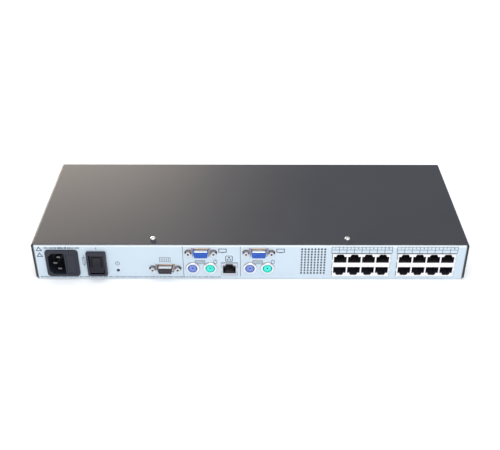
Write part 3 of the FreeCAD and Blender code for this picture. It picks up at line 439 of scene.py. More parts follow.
def rounded(u0, u1, v0, v1, radius, steps=5):
    """A rectangle with its corners rounded."""
    left, right, low, high = u0 + radius, u1 - radius, v0 + radius, v1 - radius
    corners = ((right, high), (left, high), (left, low), (right, low))
    outline = []
    for quarter, (u, v) in enumerate(corners):
        for i in range(steps + 1):
            angle = math.pi / 2 * (quarter + i / steps)
            outline.append((u + radius * math.cos(angle), v + radius * math.sin(angle)))
    return outline


def ring(mesh, places):
    return [mesh.verts.new(place) for place in places]


def wall(mesh, first, second):
    """Joins two rings of vertices, corner to corner."""
    for i in range(len(first)):
        mesh.faces.new((first[i - 1], first[i], second[i], second[i - 1]))


def prism(mesh, axis, outline, low, high):
    """Adds a closed solid between two levels along an axis."""
    ends = [ring(mesh, [point(axis, u, v, level) for u, v in outline]) for level in (low, high)]
    mesh.faces.new(ends[0])
    mesh.faces.new(reversed(ends[1]))
    wall(mesh, *ends)


def frame_prism(mesh, axis, outer, clear_of_painted_shade, low, high):
    """Adds a closed solid with a hole through it. Both outlines have the same number of points."""
    turns = ((outer, low), (outer, high), (clear_of_painted_shade, high), (clear_of_painted_shade, low))
    rings = [ring(mesh, [point(axis, u, v, level) for u, v in outline]) for outline, level in turns]
    for i in range(len(rings)):
        wall(mesh, rings[i - 1], rings[i])


def bevelled(mesh, low, high, bevel):
    """Adds a block with all its edges bevelled."""
    made = bmesh.ops.create_cube(mesh, size=1)["verts"]
    size = [b - a for a, b in zip(low, high)]
    middle = [(a + b) / 2 for a, b in zip(low, high)]
    bmesh.ops.scale(mesh, vec=size, verts=made)
    bmesh.ops.translate(mesh, vec=middle, verts=made)
    edges = {e for v in made for e in v.link_edges}
    bmesh.ops.bevel(mesh, geom=list(edges), offset=bevel, segments=2, profile=0.5, affect="EDGES")


def rectangles_joined(mesh, axis, rectangles, low, high):
    """Adds the union of upright rectangles as closed solids that share their walls."""
    cuts = [sorted({round(r[k + side], 7) for r in rectangles for side in (0, 1)}) for k in (0, 2)]
    middles = [[(a + b) / 2 for a, b in zip(line, line[1:])] for line in cuts]
    filled = {
        (i, j)
        for i, u in enumerate(middles[0])
        for j, v in enumerate(middles[1])
        if any(r[0] < u < r[1] and r[2] < v < r[3] for r in rectangles)
    }
    corners = {}

    def corner(i, j, level):
        if (i, j, level) not in corners:
            corners[i, j, level] = mesh.verts.new(point(axis, cuts[0][i], cuts[1][j], level))
        return corners[i, j, level]

    for i, j in filled:
        loop = [(i, j), (i + 1, j), (i + 1, j + 1), (i, j + 1)]
        for level in (low, high):
            mesh.faces.new([corner(*at, level) for at in loop])
        neighbours = [(i, j - 1), (i + 1, j), (i, j + 1), (i - 1, j)]
        for k, neighbour in enumerate(neighbours):
            if neighbour not in filled:
                a, b = loop[k], loop[(k + 1) % 4]
                mesh.faces.new((corner(*a, low), corner(*b, low), corner(*b, high), corner(*a, high)))


def placed(name, data):
    """Makes an object of some data and links it to the scene."""
    made = bpy.data.objects.new(name, data)
    bpy.context.scene.collection.objects.link(made)
    return made


def solid(name, mesh, material):
    """Makes a finished mesh an object."""
    bmesh.ops.recalc_face_normals(mesh, faces=mesh.faces)
    data = bpy.data.meshes.new(name)
    mesh.to_mesh(data)
    mesh.free()
    data.materials.append(material)
    return placed(name, data)


def piece(name, mesh, material, body="case", smooth=False):
    """Makes a finished mesh a piece that rides on a body and takes a material slot's finish."""
    made = solid(name, mesh, material)
    if smooth:
        made.data.shade_smooth()
    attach(made, body)


def middle_of(node):
    low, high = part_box(node)
    return (low + high) / 2


def beside(node, across, up, side=0.5, level=0.5):
    """A spot in millimetres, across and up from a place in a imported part's box."""
    low, high = (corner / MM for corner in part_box(node))
    return low.x + (high.x - low.x) * side + across, low.z + (high.z - low.z) * level + up


# ---- Stage ----


class KVM_OT_stage(bpy.types.Operator):
    """Pale floor, soft studio light and the camera"""

    bl_idname = "kvm.stage"
    bl_label = "Stage"

    def execute(self, context):
        mesh = bmesh.new()
        prism(mesh, "z", rounded(-4, 4, -3, 5, 0.5), -0.01, 0.0)
        floor = solid("studio_floor", mesh, studio_paper("studio_paper"))
        world = bpy.data.worlds.new("studio")
        world.use_nodes = True
        backdrop = world.node_tree.nodes["Background"]
        backdrop.inputs["Color"].default_value = (0.93, 0.96, 1.0, 1)
        backdrop.inputs["Strength"].default_value = 0.62
        context.scene.world = world
        self.softbox("overhead", (0.1, -0.2, 1.5), (0, 0, 0), (1.5, 1.5), 15, (1, 1, 1))
        lamp_shade, fill_shade = (1, 0.87, 0.72), (0.95, 0.98, 1)
        self.softbox("lamp_behind_left", (-0.8, 1.75, 0.38), (-0.1, 0, 0.04), (1.3, 0.4), 30, lamp_shade)
        self.softbox("front_fill", (0.25, -1.7, 0.9), (0, -0.08, 0.02), (1.2, 1.2), 12, fill_shade)
        context.scene.camera = self.camera()
        context.scene.view_settings.view_transform = "Standard"
        return {"FINISHED"}

    def softbox(self, name, place, target, size, watts, shade):
        lamp = bpy.data.lights.new(name, "AREA")
        lamp.shape = "RECTANGLE"
        lamp.size, lamp.size_y = size
        lamp.energy = watts
        lamp.color = shade
        box = placed(name, lamp)
        box.location = place
        box.rotation_euler = (Vector(target) - Vector(place)).to_track_quat("-Z", "Y").to_euler()

    def camera(self):
        """Above and in front of the port face, looking down along the case's depth."""
        lens = bpy.data.cameras.new("camera")
        lens.lens = 56.87
        lens.sensor_width = 36
        view = placed("camera", lens)
        pitch, yaw, roll = (math.radians(a) for a in (34.03, -0.1, 0.03))
        turn = Matrix.Rotation(-yaw, 4, "Z") @ Matrix.Rotation(math.pi / 2 - pitch, 4, "X")
        place = Matrix.Translation((0.001, PORT_FACE - 0.6302, 0.4916))
        view.matrix_world = place @ turn @ Matrix.Rotation(roll, 4, "Z")
        return view


# ---- Case ----


class KVM_OT_case(bpy.types.Operator):
    """Base pan, cover, films, nuts and screws"""

    bl_idname = "kvm.case"
    bl_label = "Case"

    def execute(self, context):
        colours = context.scene.kvm_colours
        dress(zinc_plate("zinc_plate", colours.zinc), "base_pan")
        dress(powder_coat("cover_powder_coat", colours.cover), "top_cover")
        dress(printed_film("port_face_film", colours.panel), "rear_overlay")
        dress(printed_film("front_film", tint(colours.cover, 0.8)), "front_overlay")
        bright = plated("bright_screw", (0.84, 0.83, 0.82), 0.3)
        dress(bright, "cover_screws_top", "cover_screws_side")
        dress(plated("screw_steel", (0.6, 0.6, 0.62)), "side_nuts", "board_screws")
        brass = plated("brass_post", (0.72, 0.58, 0.33))
        dress(brass, "board_standoffs", "video_board_posts", "earth_stud")
        dress(clear("light_pipe_acrylic", (0.85, 0.87, 0.86), 0.7), "front_light_pipe")
        self.front_print(context.scene.kvm_sizes.ink)
        return {"FINISHED"}

    def front_print(self, skin):
        """A thin ring and rule printed round the front lamp's window."""
        mesh = bmesh.new()
        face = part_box("front_overlay")[1].y
        window = middle_of("front_light_pipe")
        outer, clear_of_painted_shade = (circle(window.x, window.z, r * MM, 40) for r in (3.6, 3.2))
        frame_prism(mesh, "y", outer, clear_of_painted_shade, face - skin / 3, face + skin)
        rule = [(window.x + 8 * MM, -window.x, window.z - 0.2 * MM, window.z + 0.2 * MM)]
        rectangles_joined(mesh, "y", rule, face - skin / 3, face + skin)
        piece("front_print", mesh, ink("silver_ink", (0.35, 0.36, 0.38)))


# ---- Port face print ----


class KVM_OT_print(bpy.types.Operator):
    """Rules, pictograms, port boxes and port numbers on the port face"""

    bl_idname = "kvm.print"
    bl_label = "Port face print"

    def execute(self, context):
        sizes = context.scene.kvm_sizes
        self.line = sizes.line / MM
        self.face, self.back = PORT_FACE - sizes.ink, PORT_FACE + sizes.ink / 3
        self.material = ink("grey_ink", context.scene.kvm_colours.ink)
        self.rules()
        self.port_boxes(sizes.digit)
        self.pictograms()
        return {"FINISHED"}

    def lay(self, name, spot, bars=(), outlines=(), rings=()):
        """Prints rings, filled outlines and bars, in millimetres from a spot, as one piece."""
        mesh = bmesh.new()
        x, z = spot

        def moved(outline):
            return [((x + u) * MM, (z + v) * MM) for u, v in outline]

        for outer, clear_of_painted_shade in rings:
            frame_prism(mesh, "y", moved(outer), moved(clear_of_painted_shade), self.face, self.back)
        for outline in outlines:
            prism(mesh, "y", moved(outline), self.face, self.back)
        if bars:
            bars = [((x + a) * MM, (x + b) * MM, (z + c) * MM, (z + d) * MM) for a, b, c, d in bars]
            rectangles_joined(mesh, "y", bars, self.face, self.back)
        piece(name, mesh, self.material)

    def rules(self):
        """Two upright rules between the port groups, and two rows that stand for small print."""
        left, floor = beside("rear_overlay", 0, 0, 0, 0)
        top = beside("rear_overlay", 0, 0, 0, 1)[1]
        gaps = (("serial_port_shell", "keyboard_port_a_core"), ("remote_port_shield", "keyboard_port_b_core"))
        uprights = []
        for before, after in gaps:
            x = (beside(before, 0, 0, 1)[0] + beside(after, 0, 0, 0)[0]) / 2
            uprights.append((x - self.line / 2, x + self.line / 2, floor + 2.4, top - 0.6))
        self.lay("panel_rules", (0, 0), uprights)
        ends = (beside("inlet_housing", 0, 0, 0)[0], beside("inlet_housing", 2.5, 0, 1)[0])
        self.small_print("small_print_1", *ends, top - 2.9, 1.7, 1.35)
        end = beside("remote_port_shield", -0.5, 0, 0)[0]
        self.small_print("small_print_2", left + 2, end, floor + 1.6, 1.25, 1)

    def small_print(self, name, start, end, level, tall, heavy):
        """A row of short upright dashes in word-long groups, heavier in the middle."""
        words = (4, 7, 5, 2, 6, 8, 3)
        dashes, x, i = [], start, 0
        while x < end:
            for letter in range(words[i % len(words)]):
                bold = heavy if abs(x - (start + end) / 2) < (end - start) * 0.22 else 1
                wide = tall * (0.34, 0.46, 0.28)[(letter + i) % 3] * bold
                rise = tall * (0.5, 0.38, 0.62)[(letter * 2 + i) % 3] * bold
                if x + wide < end:
                    dashes.append((x, x + wide, level - tall * 0.42 * bold, level + rise))
                x += wide + tall * 0.22
            x += tall * 0.5
            i += 1
        self.lay(name, (0, 0), dashes)

    def port_boxes(self, digit):
        """Over each bank, a box of eight cells cut by a middle line, with a number in each upper cell."""
        half = self.line / 2
        for bank in BANKS:
            left, floor = beside(f"{bank}_shield", -1.5, 0.35, 0, 1)
            right, top = beside(f"{bank}_shield", 1.5, 8.35, 1, 1)
            centre = (floor + top) / 2 + 0.2
            pitch = (right - left) / PORT_CELLS
            lines = outlined(left, right, floor, top, self.line)
            lines.append((left, right, centre - half, centre + half))
            splits = [left + i * pitch for i in range(1, PORT_CELLS)]
            self.lay(f"{bank}_boxes", (0, 0), lines + [(x - half, x + half, floor, top) for x in splits])
            places = [left + (i + 0.5) * pitch for i in range(PORT_CELLS)]
            self.numbers(f"{bank}_numbers", places, (centre + top) / 2, digit)

    def numbers(self, name, places, level, height):
        """A row of numbers counting from one, as closed raised print."""
        mesh = bmesh.new()
        half_deep = (self.back - self.face) / 2
        upright = Matrix.Rotation(math.pi / 2, 4, "X")
        for count, x in enumerate(places, 1):
            text = bpy.data.curves.new("digit", "FONT")
            text.body = str(count)
            text.size = height / DIGIT_SHARE
            text.extrude = half_deep
            text.resolution_u = 3
            text.align_x = text.align_y = "CENTER"
            source = bpy.data.objects.new("digit", text)
            data = bpy.data.meshes.new_from_object(source)
            place = Matrix.Translation((x * MM, self.face + half_deep, level * MM))
            data.transform(place @ upright)
            mesh.from_mesh(data)
            bpy.data.objects.remove(source)
            bpy.data.curves.remove(text)
            bpy.data.meshes.remove(data)
        bmesh.ops.remove_doubles(mesh, verts=mesh.verts, dist=1e-6)
        piece(name, mesh, self.material)

    def pictograms(self):
        """A small line drawing beside each port, in millimetres round its middle."""
        line = self.line
        monitor = outlined(*bar(0, 0, 4.1, 2.4), line * 1.3)
        monitor += outlined(*bar(0, 0, 4.1 - line * 2, 2.4 - line * 2), line / 3)
        monitor.append((-1.6, 1.6, -2.4 - line * 1.2, -2.4 - line / 2))
        keyboard = outlined(*bar(0, 0, 5, 2.2), line)
        keyboard += [bar(i * 1.2, row * 1.05, 0.36, 0.26) for row in (-1, 0, 1) for i in range(-3, 4)]
        wheel = rounded(*bar(0, 0.95, 0.3, 0.55), 0.25, 4)
        mouse = (
            rounded(*bar(0, 0, 1.8, 2.45), 1.7, 6),
            rounded(*bar(0, 0, 1.8 - line, 2.45 - line), 1.3, 6),
        )
        for letter in "ab":
            spot = beside(f"video_port_{letter}_shell", 21.4, 2.4)
            self.lay(f"monitor_mark_{letter}", spot, monitor)
            spot = beside(f"keyboard_port_{letter}_core", 7.6, 8.6)
            self.lay(f"keyboard_mark_{letter}", spot, keyboard)
            spot = beside(f"mouse_port_{letter}_core", 5.3, 9.2)
            self.lay(f"mouse_mark_{letter}", spot, outlines=[wheel], rings=[mouse])
        serial = outlined(*bar(0, 0, 5.55, 2.7), line) + [bar(i * 1.8, 0, 0.25, 1.3) for i in range(-2, 3)]
        self.lay("serial_mark", beside("serial_port_shell", 0, 10.8), serial)
        border = (
            rounded(*bar(0, 0, 3.6, 3.7), 1.2),
            rounded(*bar(0, 0, 3.6 - line * 1.5, 3.7 - line * 1.5), 0.7),
        )
        boxes = [bar(0, 1.5, 0.9, 0.7), bar(0, 0.4, 0.15, 0.5), bar(0, -0.25, 1.55, 0.15)]
        boxes += [bar(u, *rest) for u in (-1.4, 1.4) for rest in ((-1.5, 0.8, 0.6), (-0.65, 0.15, 0.35))]
        self.lay("network_mark", beside("remote_port_shield", -0.2, 5.1, level=1), boxes, rings=[border])
        self.lay("switch_mark", beside("switch_housing", 0.6, 3.5, level=1), [bar(0, 0, 0.3, 1.2)])
        fuse = outlined(*bar(0, 0, 1.5, 4.5), line) + [bar(0, 0, line / 2, 7.3)]
        self.lay("fuse_mark", beside("switch_housing", -3, 16.9, 0, 0), fuse)
        left = beside("rear_overlay", 4.6, 0, 0)[0]
        triangle = [circle(0, 0, radius, 3) for radius in (3.7, 2.2)]
        triangle = [[(v, u) for u, v in outline] for outline in triangle]
        for number, level in enumerate((36.6, 29.5), 1):
            self.lay(f"triangle_mark_{number}", (left, level), rings=[triangle])
        halo = (circle(0, 0, 2.3, 32), circle(0, 0, 1.85, 32))
        self.lay("lamp_mark", beside("power_lamp", 0, 6.7, level=1), [bar(0, 0.1, 0.2, 1.1)], rings=[halo])


# ---- Mains ----


class KVM_OT_mains(bpy.types.Operator):
    """Mains inlet, fuse drawer, power switch and lamp"""

    bl_idname = "kvm.mains"
    bl_label = "Mains"

    def execute(self, context):
        colours = context.scene.kvm_colours
        slate = moulded("inlet_nylon", colours.inlet, 0.42, gloss=0.38)
        frame_nylon = moulded("switch_frame_nylon", tint(colours.switch, 2.2), 0.24, 0.35, 0.006, gloss=0.46)
        dress(slate, "inlet_housing", "fuse_drawer")
        blade = plated("nickel_blade", (0.2, 0.185, 0.18), 0.3)
        dress(blade, "inlet_blades", "switch_terminals", "fuse_contacts")
        dress(clear("fuse_glass", (0.92, 0.94, 0.94), 0.35), "fuse_tubes")
        dress(plated("fuse_cap", (0.82, 0.8, 0.76), 0.16, (1, 1, 0.1)), "fuse_caps")
        dress(frame_nylon, "switch_housing")
        dress(self.rocker_finish(colours.switch), "switch_rocker")
        dress(lamp_epoxy("lamp_epoxy"), "power_lamp")
        self.drawer_catch(slate)
        self.fuse_wires()
        self.tab_sleeves()
        return {"FINISHED"}

    def rocker_finish(self, shade):
        """Moulded like the frame, with the channel round the thumb pad painted near-black for the shade in
        it.
        """
        finish = Finish("switch_rocker_nylon", Specular_IOR_Level=0.32)
        centre = middle_of("switch_rocker")
        texture = finish.noise(0.35 * MM, 3)
        across, level = finish.level("X"), finish.level("Z")
        outer = finish.band(across, centre.x - 5.4 * MM, centre.x + 5.4 * MM)
        outer = outer * finish.band(level, centre.z - 4 * MM, centre.z + 8 * MM)
        pad = finish.band(across, centre.x - 4 * MM, centre.x + 4 * MM) * (level < centre.z + 6.6 * MM)
        channel = outer * (1 - pad)
        worn = finish.shades(shade, 0.9, 1.5, texture)
        # Painted shade: the channel is painted near-black.
        painted_channel_shade = finish.mix(worn, (0.0005, 0.0005, 0.001), channel)
        return finish.coat(painted_channel_shade, 0.3 + channel * 0.35, texture, 0.006 * MM, 0.6)

    def drawer_catch(self, material):
        """A thumb lip on the fuse drawer's upper end."""
        low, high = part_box("fuse_drawer")
        mesh = bmesh.new()
        top = (low.x + 2.6 * MM, low.y - 0.15 * MM, high.z - 2.6 * MM)
        bevelled(mesh, top, (high.x - 2.6 * MM, low.y + 0.15 * MM, high.z - 1.2 * MM), 0.14 * MM)
        piece("fuse_drawer_lip", mesh, material, "fuse_carrier")

    def fuse_wires(self):
        """The thin wire inside each glass fuse."""
        low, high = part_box("fuse_tubes")
        caps_low, caps_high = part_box("fuse_caps")
        x = (low.x + high.x) / 2
        radius = (high.x - low.x) / 2
        metal = plated("fuse_wire", (0.75, 0.72, 0.66), 0.2, (1, 1, 0.2))
        for number, y in enumerate((low.y + radius, high.y - radius), 1):
            mesh = bmesh.new()
            prism(mesh, "z", circle(x, y, 0.12 * MM, 10), caps_low.z + 0.5 * MM, caps_high.z - 0.5 * MM)
            piece(f"fuse_wire_{number}", mesh, metal, "fuse_carrier", smooth=True)

    def tab_sleeves(self):
        """Insulated sleeves pushed over the tabs that carry the mains leads."""
        sleeve = moulded("tab_sleeve_vinyl", (0.35, 0.03, 0.025), 0.35)
        inlet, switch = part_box("inlet_blades"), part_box("switch_terminals")
        lying, standing = (2.9 * MM, 1.4 * MM), (1.4 * MM, 3.6 * MM)
        tabs = (
            (inlet, lying, inlet[1].x - 2.4 * MM),
            (switch, standing, switch[0].x + 0.4 * MM),
            (switch, standing, switch[1].x - 0.4 * MM),
        )
        mesh = bmesh.new()
        for (low, high), (wide, tall), x in tabs:
            for row in (-7, 7):
                z = (low.z + high.z) / 2 + row * MM
                outer = rounded(*bar(x, z, wide, tall), 1.12 * MM)
                clear_of_painted_shade = rounded(*bar(x, z, wide * 0.8, tall * 0.9), 0.98 * MM)
                frame_prism(mesh, "y", outer, clear_of_painted_shade, high.y - 5 * MM, high.y + 2.2 * MM)
        piece("tab_sleeves", mesh, sleeve)


# ---- Signal ports ----


def sleeves(name, spot, holes, radii, steps, levels, gold):
    """Contact sleeves set back in an insulator's holes, which lie in millimetres round a spot."""
    x, z = spot
    mesh = bmesh.new()
    for u, v in holes:
        outer, clear_of_painted_shade = (circle((x + u) * MM, (z + v) * MM, radius * MM, steps) for radius in radii)
        frame_prism(mesh, "y", outer, clear_of_painted_shade, *levels)
    piece(name, mesh, gold)


class KVM_OT_d_ports(bpy.types.Operator):
    """Serial and video ports"""

    bl_idname = "kvm.d_ports"
    bl_label = "D ports"

    def execute(self, context):
        colours = context.scene.kvm_colours
        blue = moulded("video_insulator", colours.video, 0.38)
        dress(blue, "video_port_a_insert", "video_port_b_insert")
        dress(moulded("serial_insulator", (0.016, 0.014, 0.022), 0.4), "serial_port_insert")
        dress(plated("jack_screw", (0.7, 0.7, 0.72), 0.2, (1, 1, 0.2)), "port_jackscrews")
        gold = plated("contact_gold", (0.4, 0.34, 0.28), 0.3)
        fives = (-2, -1, 0, 1, 2)
        pitch, rise = 2.29, 1.98
        video = [(u * pitch + (0 if row else pitch / 2), row * rise) for row in (-1, 0, 1) for u in fives]
        pitch, rise = 2.77, 1.42
        serial = [(u * pitch, rise) for u in fives] + [((u + 0.5) * pitch, -rise) for u in fives[:4]]
        ports = {"serial_port": (serial, 0.55), "video_port_a": (video, 0.47), "video_port_b": (video, 0.47)}
        for port, (holes, bore) in ports.items():
            shell = f"{port}_shell"
            dress(drawn_shell(f"{port}_tin", (0.88, 0.87, 0.86), middle_of(shell)), shell)
            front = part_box(f"{port}_insert")[0].y
            levels = (front + 0.35 * MM, front + SLEEVE_END)
            sleeves(f"{port}_sleeves", beside(shell, 0, 0), holes, (bore, bore * 0.62), 14, levels, gold)
            self.solder_tails(port, holes, gold)
        return {"FINISHED"}

    def solder_tails(self, port, holes, gold):
        """Pins that leave the back of the connector and turn down into the board."""
        low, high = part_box(f"{port}_insert")
        thick, thin = 0.22 * MM, 0.2 * MM
        mesh = bmesh.new()
        for i in range(len(holes)):
            x = low.x + (i + 1) * (high.x - low.x) / (len(holes) + 1)
            y = high.y + (0.5 + 1.1 * (i % 3)) * MM
            z = low.z + (2.2 + 1.6 * (i % 3)) * MM
            bevelled(mesh, (x - thick, y - thick, low.z), (x + thick, y + thick, z + thick), 0.05 * MM)
            bevelled(mesh, (x - thin, high.y - 0.1 * MM, z - thin), (x + thin, y - thin, z + thin), 0.05 * MM)
        piece(f"{port}_tails", mesh, gold)


class KVM_OT_round_ports(bpy.types.Operator):
    """Keyboard and mouse ports"""

    bl_idname = "kvm.round_ports"
    bl_label = "Round ports"

    def execute(self, context):
        colours = context.scene.kvm_colours
        for kind, shade in (("keyboard", colours.keyboard), ("mouse", colours.mouse)):
            core = moulded(f"{kind}_insulator", shade, 0.4, spread=0.05)
            dress(core, f"{kind}_port_a_core", f"{kind}_port_b_core")
        dress(plated("round_shield_tin", (0.86, 0.86, 0.87), 0.3, (1, 1, 0.1)), "round_port_shields")
        self.contacts()
        return {"FINISHED"}

    def contacts(self):
        """A gold contact in each of the six holes."""
        gold = plated("round_contact_gold", (0.86, 0.62, 0.24), 0.18)
        pins = [(1.25, 2.2), (-1.25, 2.2), (2.75, 0.1), (-2.75, 0.1), (1.3, -2.1), (-1.3, -2.1)]
        for letter in "ab":
            for port in (f"keyboard_port_{letter}", f"mouse_port_{letter}"):
                spot = beside(f"{port}_core", 0, -6.7, level=1)
                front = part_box(f"{port}_core")[0].y
                levels = (front + 0.4 * MM, front + SLEEVE_END)
                sleeves(f"{port}_contacts", spot, pins, (0.41, 0.27), 12, levels, gold)


class KVM_OT_modular_ports(bpy.types.Operator):
    """Remote port and the two server banks"""

    bl_idname = "kvm.modular_ports"
    bl_label = "Modular ports"

    def execute(self, context):
        names = ("remote_port", *BANKS)
        shield = tinned_shield("jack_shield_tin")
        dress(shield, *(f"{n}_shield" for n in BANKS))
        dress(plated("remote_shield_tin", (0.6, 0.62, 0.66), 0.3), "remote_port_shield")
        dress(moulded("jack_housing", (0.03, 0.025, 0.042), 0.4), *(f"{n}_housing" for n in names))
        dress(plated("jack_contact_gold", (0.3, 0.24, 0.16), 0.3), *(f"{n}_contacts" for n in BANKS))
        dress(plated("remote_contact_tin", (0.9, 0.86, 0.82), 0.35), "remote_port_contacts")
        for name in names:
            self.side_springs(name, shield, context.scene.kvm_sizes.leaf)
        return {"FINISHED"}

    def side_springs(self, name, material, reach):
        """Leaf springs bent out of the shield's sides, that press on the edge of the wall's opening."""
        low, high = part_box(f"{name}_shield")
        rows = (0.3, 0.7) if name in BANKS else (0.5,)
        rise = ((0, 0.1), (0.7, 0.25), (1, 0.5))
        tall = 1.6 * MM
        mesh = bmesh.new()
        for side, x in ((-1, low.x), (1, high.x)):
            spine = [(x + side * reach * u, low.y + v * MM) for u, v in rise]
            outline = spine + [(u - side * 0.12 * MM, v + 0.16 * MM) for u, v in reversed(spine)]
            outline[-1] = (x, low.y + 0.28 * MM)
            for row in rows:
                z = low.z + (high.z - low.z) * row
                prism(mesh, "z", outline, z - tall, z + tall)
        piece(f"{name}_springs", mesh, material)


# ---- Boards, supply and leads ----


class KVM_OT_boards(bpy.types.Operator):
    """Main board, video board and what they carry"""

    bl_idname = "kvm.boards"
    bl_label = "Boards"

    def execute(self, context):
        mask = solder_mask("board_solder_mask", context.scene.kvm_colours.board)
        dress(mask, "main_board", "video_board")
        dress(sintered("chip_epoxy", (0.02, 0.02, 0.022)), "board_chips")
        dress(plated("black_anodised", (0.05, 0.05, 0.055), 0.42, (1, 0.1, 1)), "heatsink")
        dress(wrapped("capacitor_can", (0.6, 0.62, 0.66), 4), "board_capacitors")
        dress(moulded("link_housing", (0.02, 0.02, 0.02), 0.45), "board_link")
        self.chip_pins(context.scene.kvm_sizes.pin)
        self.small_parts()
        return {"FINISHED"}

    def chip_pins(self, width):
        """Gull-wing pins along the long sides of every driver chip: two rows of four chips to a bank."""
        tin = plated("pin_tin", (0.7, 0.7, 0.7), 0.25)
        top = LOGIC_BOARD[1].z
        half_chip, pin_pitch = 3.5 * MM, 1.2 * MM
        along = [(i - 1.5) * JACK_PITCH + (j - 3) * pin_pitch for i in range(4) for j in range(7)]
        mesh = bmesh.new()
        for bank in BANKS:
            centre = middle_of(f"{bank}_shield").x
            for y in (-44 * MM, -30 * MM):
                for side in (-1, 1):
                    for x in along:
                        self.pin(mesh, centre + x, y + side * half_chip, side, width, top)
        piece("driver_chip_pins", mesh, tin)

    def pin(self, mesh, x, y, side, width, top):
        """One pin: out of the chip's side, down, and flat on its pad."""
        thick = 0.15 * MM
        steps = ((0, 0.9), (0.5, 0.9), (0.8, 0), (1.5, 0))
        spine = [(y + side * u * MM, top + v * MM) for u, v in steps]
        outline = spine + [(u, v + thick) for u, v in reversed(spine)]
        prism(mesh, "x", outline, x - width / 2, x + width / 2)

    def small_parts(self):
        """Rows of chip resistors and ceramic capacitors on the main board, each with its tinned ends."""
        body = moulded("resistor_glaze", (0.02, 0.02, 0.022), 0.25)
        beige = moulded("ceramic_beige", (0.45, 0.33, 0.22), 0.4)
        tin = plated("end_tin", (0.72, 0.72, 0.72), 0.25)
        top = LOGIC_BOARD[1].z
        count, pitch = 18, 3 * MM
        groups = {
            "resistors": (body, "chip_epoxy", 0.45, -51),
            "ceramics": (beige, "cream_plastic", 0.8, -37),
        }
        ends = bmesh.new()
        for name, (material, slot, tall, y) in groups.items():
            mesh = bmesh.new()
            for bank in BANKS:
                centre = middle_of(f"{bank}_shield").x
                for i in range(count):
                    x = centre + (i - (count - 1) / 2) * pitch
                    half, crown = 0.6 * MM, top + tall * MM
                    bevelled(mesh, (x - half, (y - 1) * MM, top), (x + half, (y + 1) * MM, crown), 0.08 * MM)
                    half, crown = 0.65 * MM, top + (tall + 0.05) * MM
                    for side in (-1, 1):
                        near, far = sorted(((y + side * 1.02) * MM, (y + side * 1.4) * MM))
                        bevelled(ends, (x - half, near, top), (x + half, far, crown), 0.08 * MM)
            piece(f"board_{name}", mesh, material)
        piece("board_part_ends", ends, tin)


class KVM_OT_supply(bpy.types.Operator):
    """Supply board and what it carries"""

    bl_idname = "kvm.supply"
    bl_label = "Supply"

    def execute(self, context):
        copper = wrapped("enamelled_copper", (0.55, 0.2, 0.08), 1.2, "y")
        dress(bare_laminate("tan_laminate", (0.42, 0.3, 0.14)), "supply_board")
        dress(sintered("ferrite", (0.05, 0.05, 0.055)), "transformer_core")
        dress(wrapped("winding_tape", (0.75, 0.52, 0.06), 5), "transformer_winding")
        dress(wrapped("capacitor_sleeve", (0.02, 0.02, 0.08), 9), "supply_capacitors")
        dress(plated("rolled_aluminium", (0.72, 0.73, 0.76), 0.3, (1, 0.1, 1)), "supply_heatsinks")
        dress(sintered("choke_core", (0.05, 0.09, 0.07)), "mains_choke")
        dress(moulded("header_nylon", (0.75, 0.71, 0.58), 0.42), "wire_headers")
        self.choke_turns(context.scene.kvm_sizes.turns, copper)
        self.can_tops()
        return {"FINISHED"}

    def choke_turns(self, count, material):
        """Wire wound round the choke's ring, each turn a closed loop."""
        low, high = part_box("mains_choke")
        centre = (low + high) / 2
        mid, deep, wide = 6.3 * MM, 3.2 * MM, (high.x - low.x) / 2 + 0.3 * MM
        mesh = bmesh.new()
        for y, z in circle(0, 0, 1, count):
            spots = ((a * wide, mid + b * deep) for a, b in circle(0, 0, 1, 20))
            path = [centre + Vector((x, y * reach, z * reach)) for x, reach in spots]
            self.loop_wire(mesh, path, 0.4 * MM)
        piece("choke_turns", mesh, material, smooth=True)

    def loop_wire(self, mesh, path, radius, sides=8):
        """A closed round wire through a loop of points."""
        count = len(path)
        normal = (path[count // 4] - path[0]).cross(path[count // 2] - path[0]).normalized()
        rows = []
        for i, spot in enumerate(path):
            ahead = (path[(i + 1) % count] - path[i - 1]).normalized()
            outward = ahead.cross(normal)
            around = [spot + radius * (outward * u + normal * v) for u, v in circle(0, 0, 1, sides)]
            rows.append(ring(mesh, around))
        for i in range(count):
            wall(mesh, rows[i - 1], rows[i])

    def can_tops(self):
        """Bare aluminium discs on top of the supply's capacitors, scored with a cross."""
        metal = plated("can_top", (0.75, 0.76, 0.78), 0.3)
        top = SUPPLY_BOARD[1].z
        cans = ((-190, 2, 9, 25), (-144, 50, 5, 20), (-144, 38, 5, 20), (-156, 52, 5, 20))
        mesh = bmesh.new()
        for can in cans:
            x, y, radius, tall = (v * MM for v in can)
            level, arm, thin = top + tall, radius * 0.6, 0.2 * MM
            disc = circle(x, y, radius - 0.9 * MM, 28)
            prism(mesh, "z", disc, level - 0.05 * MM, level + 0.12 * MM)
            cross = [bar(x, y, arm, thin), bar(x, y, thin, arm)]
            rectangles_joined(mesh, "z", cross, level + 0.1 * MM, level + 0.2 * MM)
        piece("can_tops", mesh, metal)


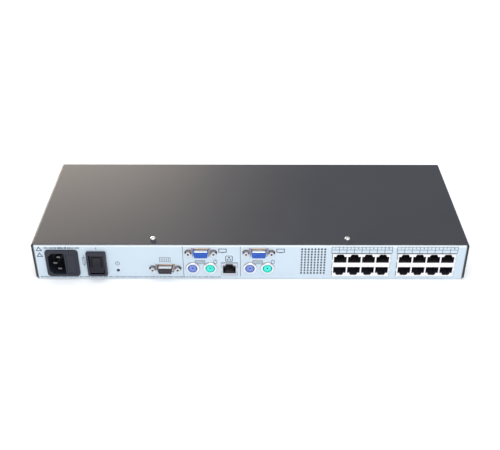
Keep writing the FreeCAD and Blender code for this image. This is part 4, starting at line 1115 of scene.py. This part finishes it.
class KVM_OT_leads(bpy.types.Operator):
    """Internal leads"""

    bl_idname = "kvm.leads"
    bl_label = "Leads"

    def execute(self, context):
        dress(insulation("brown_vinyl", (0.13, 0.05, 0.02)), "inlet_wires", "switch_wires")
        dress(insulation("earth_vinyl", (0.3, 0.5, 0.04)), "earth_wire")
        dress(insulation("red_vinyl", (0.45, 0.02, 0.02)), "supply_wires")
        self.tie()
        return {"FINISHED"}

    def tie(self):
        """A cable tie round the low-voltage leads, with its lock."""
        low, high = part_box("supply_wires")
        x = (low.x + high.x) / 2
        z = high.z - 0.8 * MM
        nylon = moulded("tie_nylon", (0.75, 0.75, 0.7), 0.3)
        mesh = bmesh.new()
        outer = rounded(low.y - 0.9 * MM, high.y + 0.9 * MM, z - 1.9 * MM, z + 1.9 * MM, 1.5 * MM)
        clear_of_painted_shade = rounded(low.y - 0.1 * MM, high.y + 0.1 * MM, z - 1.1 * MM, z + 1.1 * MM, 0.9 * MM)
        frame_prism(mesh, "x", outer, clear_of_painted_shade, x - 1.2 * MM, x + 1.2 * MM)
        lock = (x - 1.8 * MM, high.y + 0.95 * MM, z - 1.6 * MM)
        bevelled(mesh, lock, (x + 1.8 * MM, high.y + 3.4 * MM, z + 1.6 * MM), 0.3 * MM)
        piece("lead_tie", mesh, nylon)


class KVM_PT_panel(bpy.types.Panel):
    """The build steps, in order"""

    bl_label = "KVM Switch"
    bl_idname = "KVM_PT_panel"
    bl_space_type = "VIEW_3D"
    bl_region_type = "UI"
    bl_category = "KVM Switch"

    def draw(self, context):
        for step in STEPS:
            self.layout.operator(step.bl_idname)
        for group in (context.scene.kvm_colours, context.scene.kvm_sizes):
            for name in group.__annotations__:
                self.layout.prop(group, name)


STEPS = (
    KVM_OT_stage,
    KVM_OT_case,
    KVM_OT_print,
    KVM_OT_mains,
    KVM_OT_d_ports,
    KVM_OT_round_ports,
    KVM_OT_modular_ports,
    KVM_OT_boards,
    KVM_OT_supply,
    KVM_OT_leads,
)
CLASSES = (KvmColours, KvmSizes, *STEPS, KVM_PT_panel)


def register():
    for item in CLASSES:
        bpy.utils.register_class(item)
    bpy.types.Scene.kvm_colours = PointerProperty(type=KvmColours)
    bpy.types.Scene.kvm_sizes = PointerProperty(type=KvmSizes)


def unregister():
    del bpy.types.Scene.kvm_sizes
    del bpy.types.Scene.kvm_colours
    for item in reversed(CLASSES):
        bpy.utils.unregister_class(item)


def main():
    register()
    for step in STEPS:
        group, name = step.bl_idname.split(".")
        getattr(getattr(bpy.ops, group), name)()


if __name__ == "__main__":
    main()
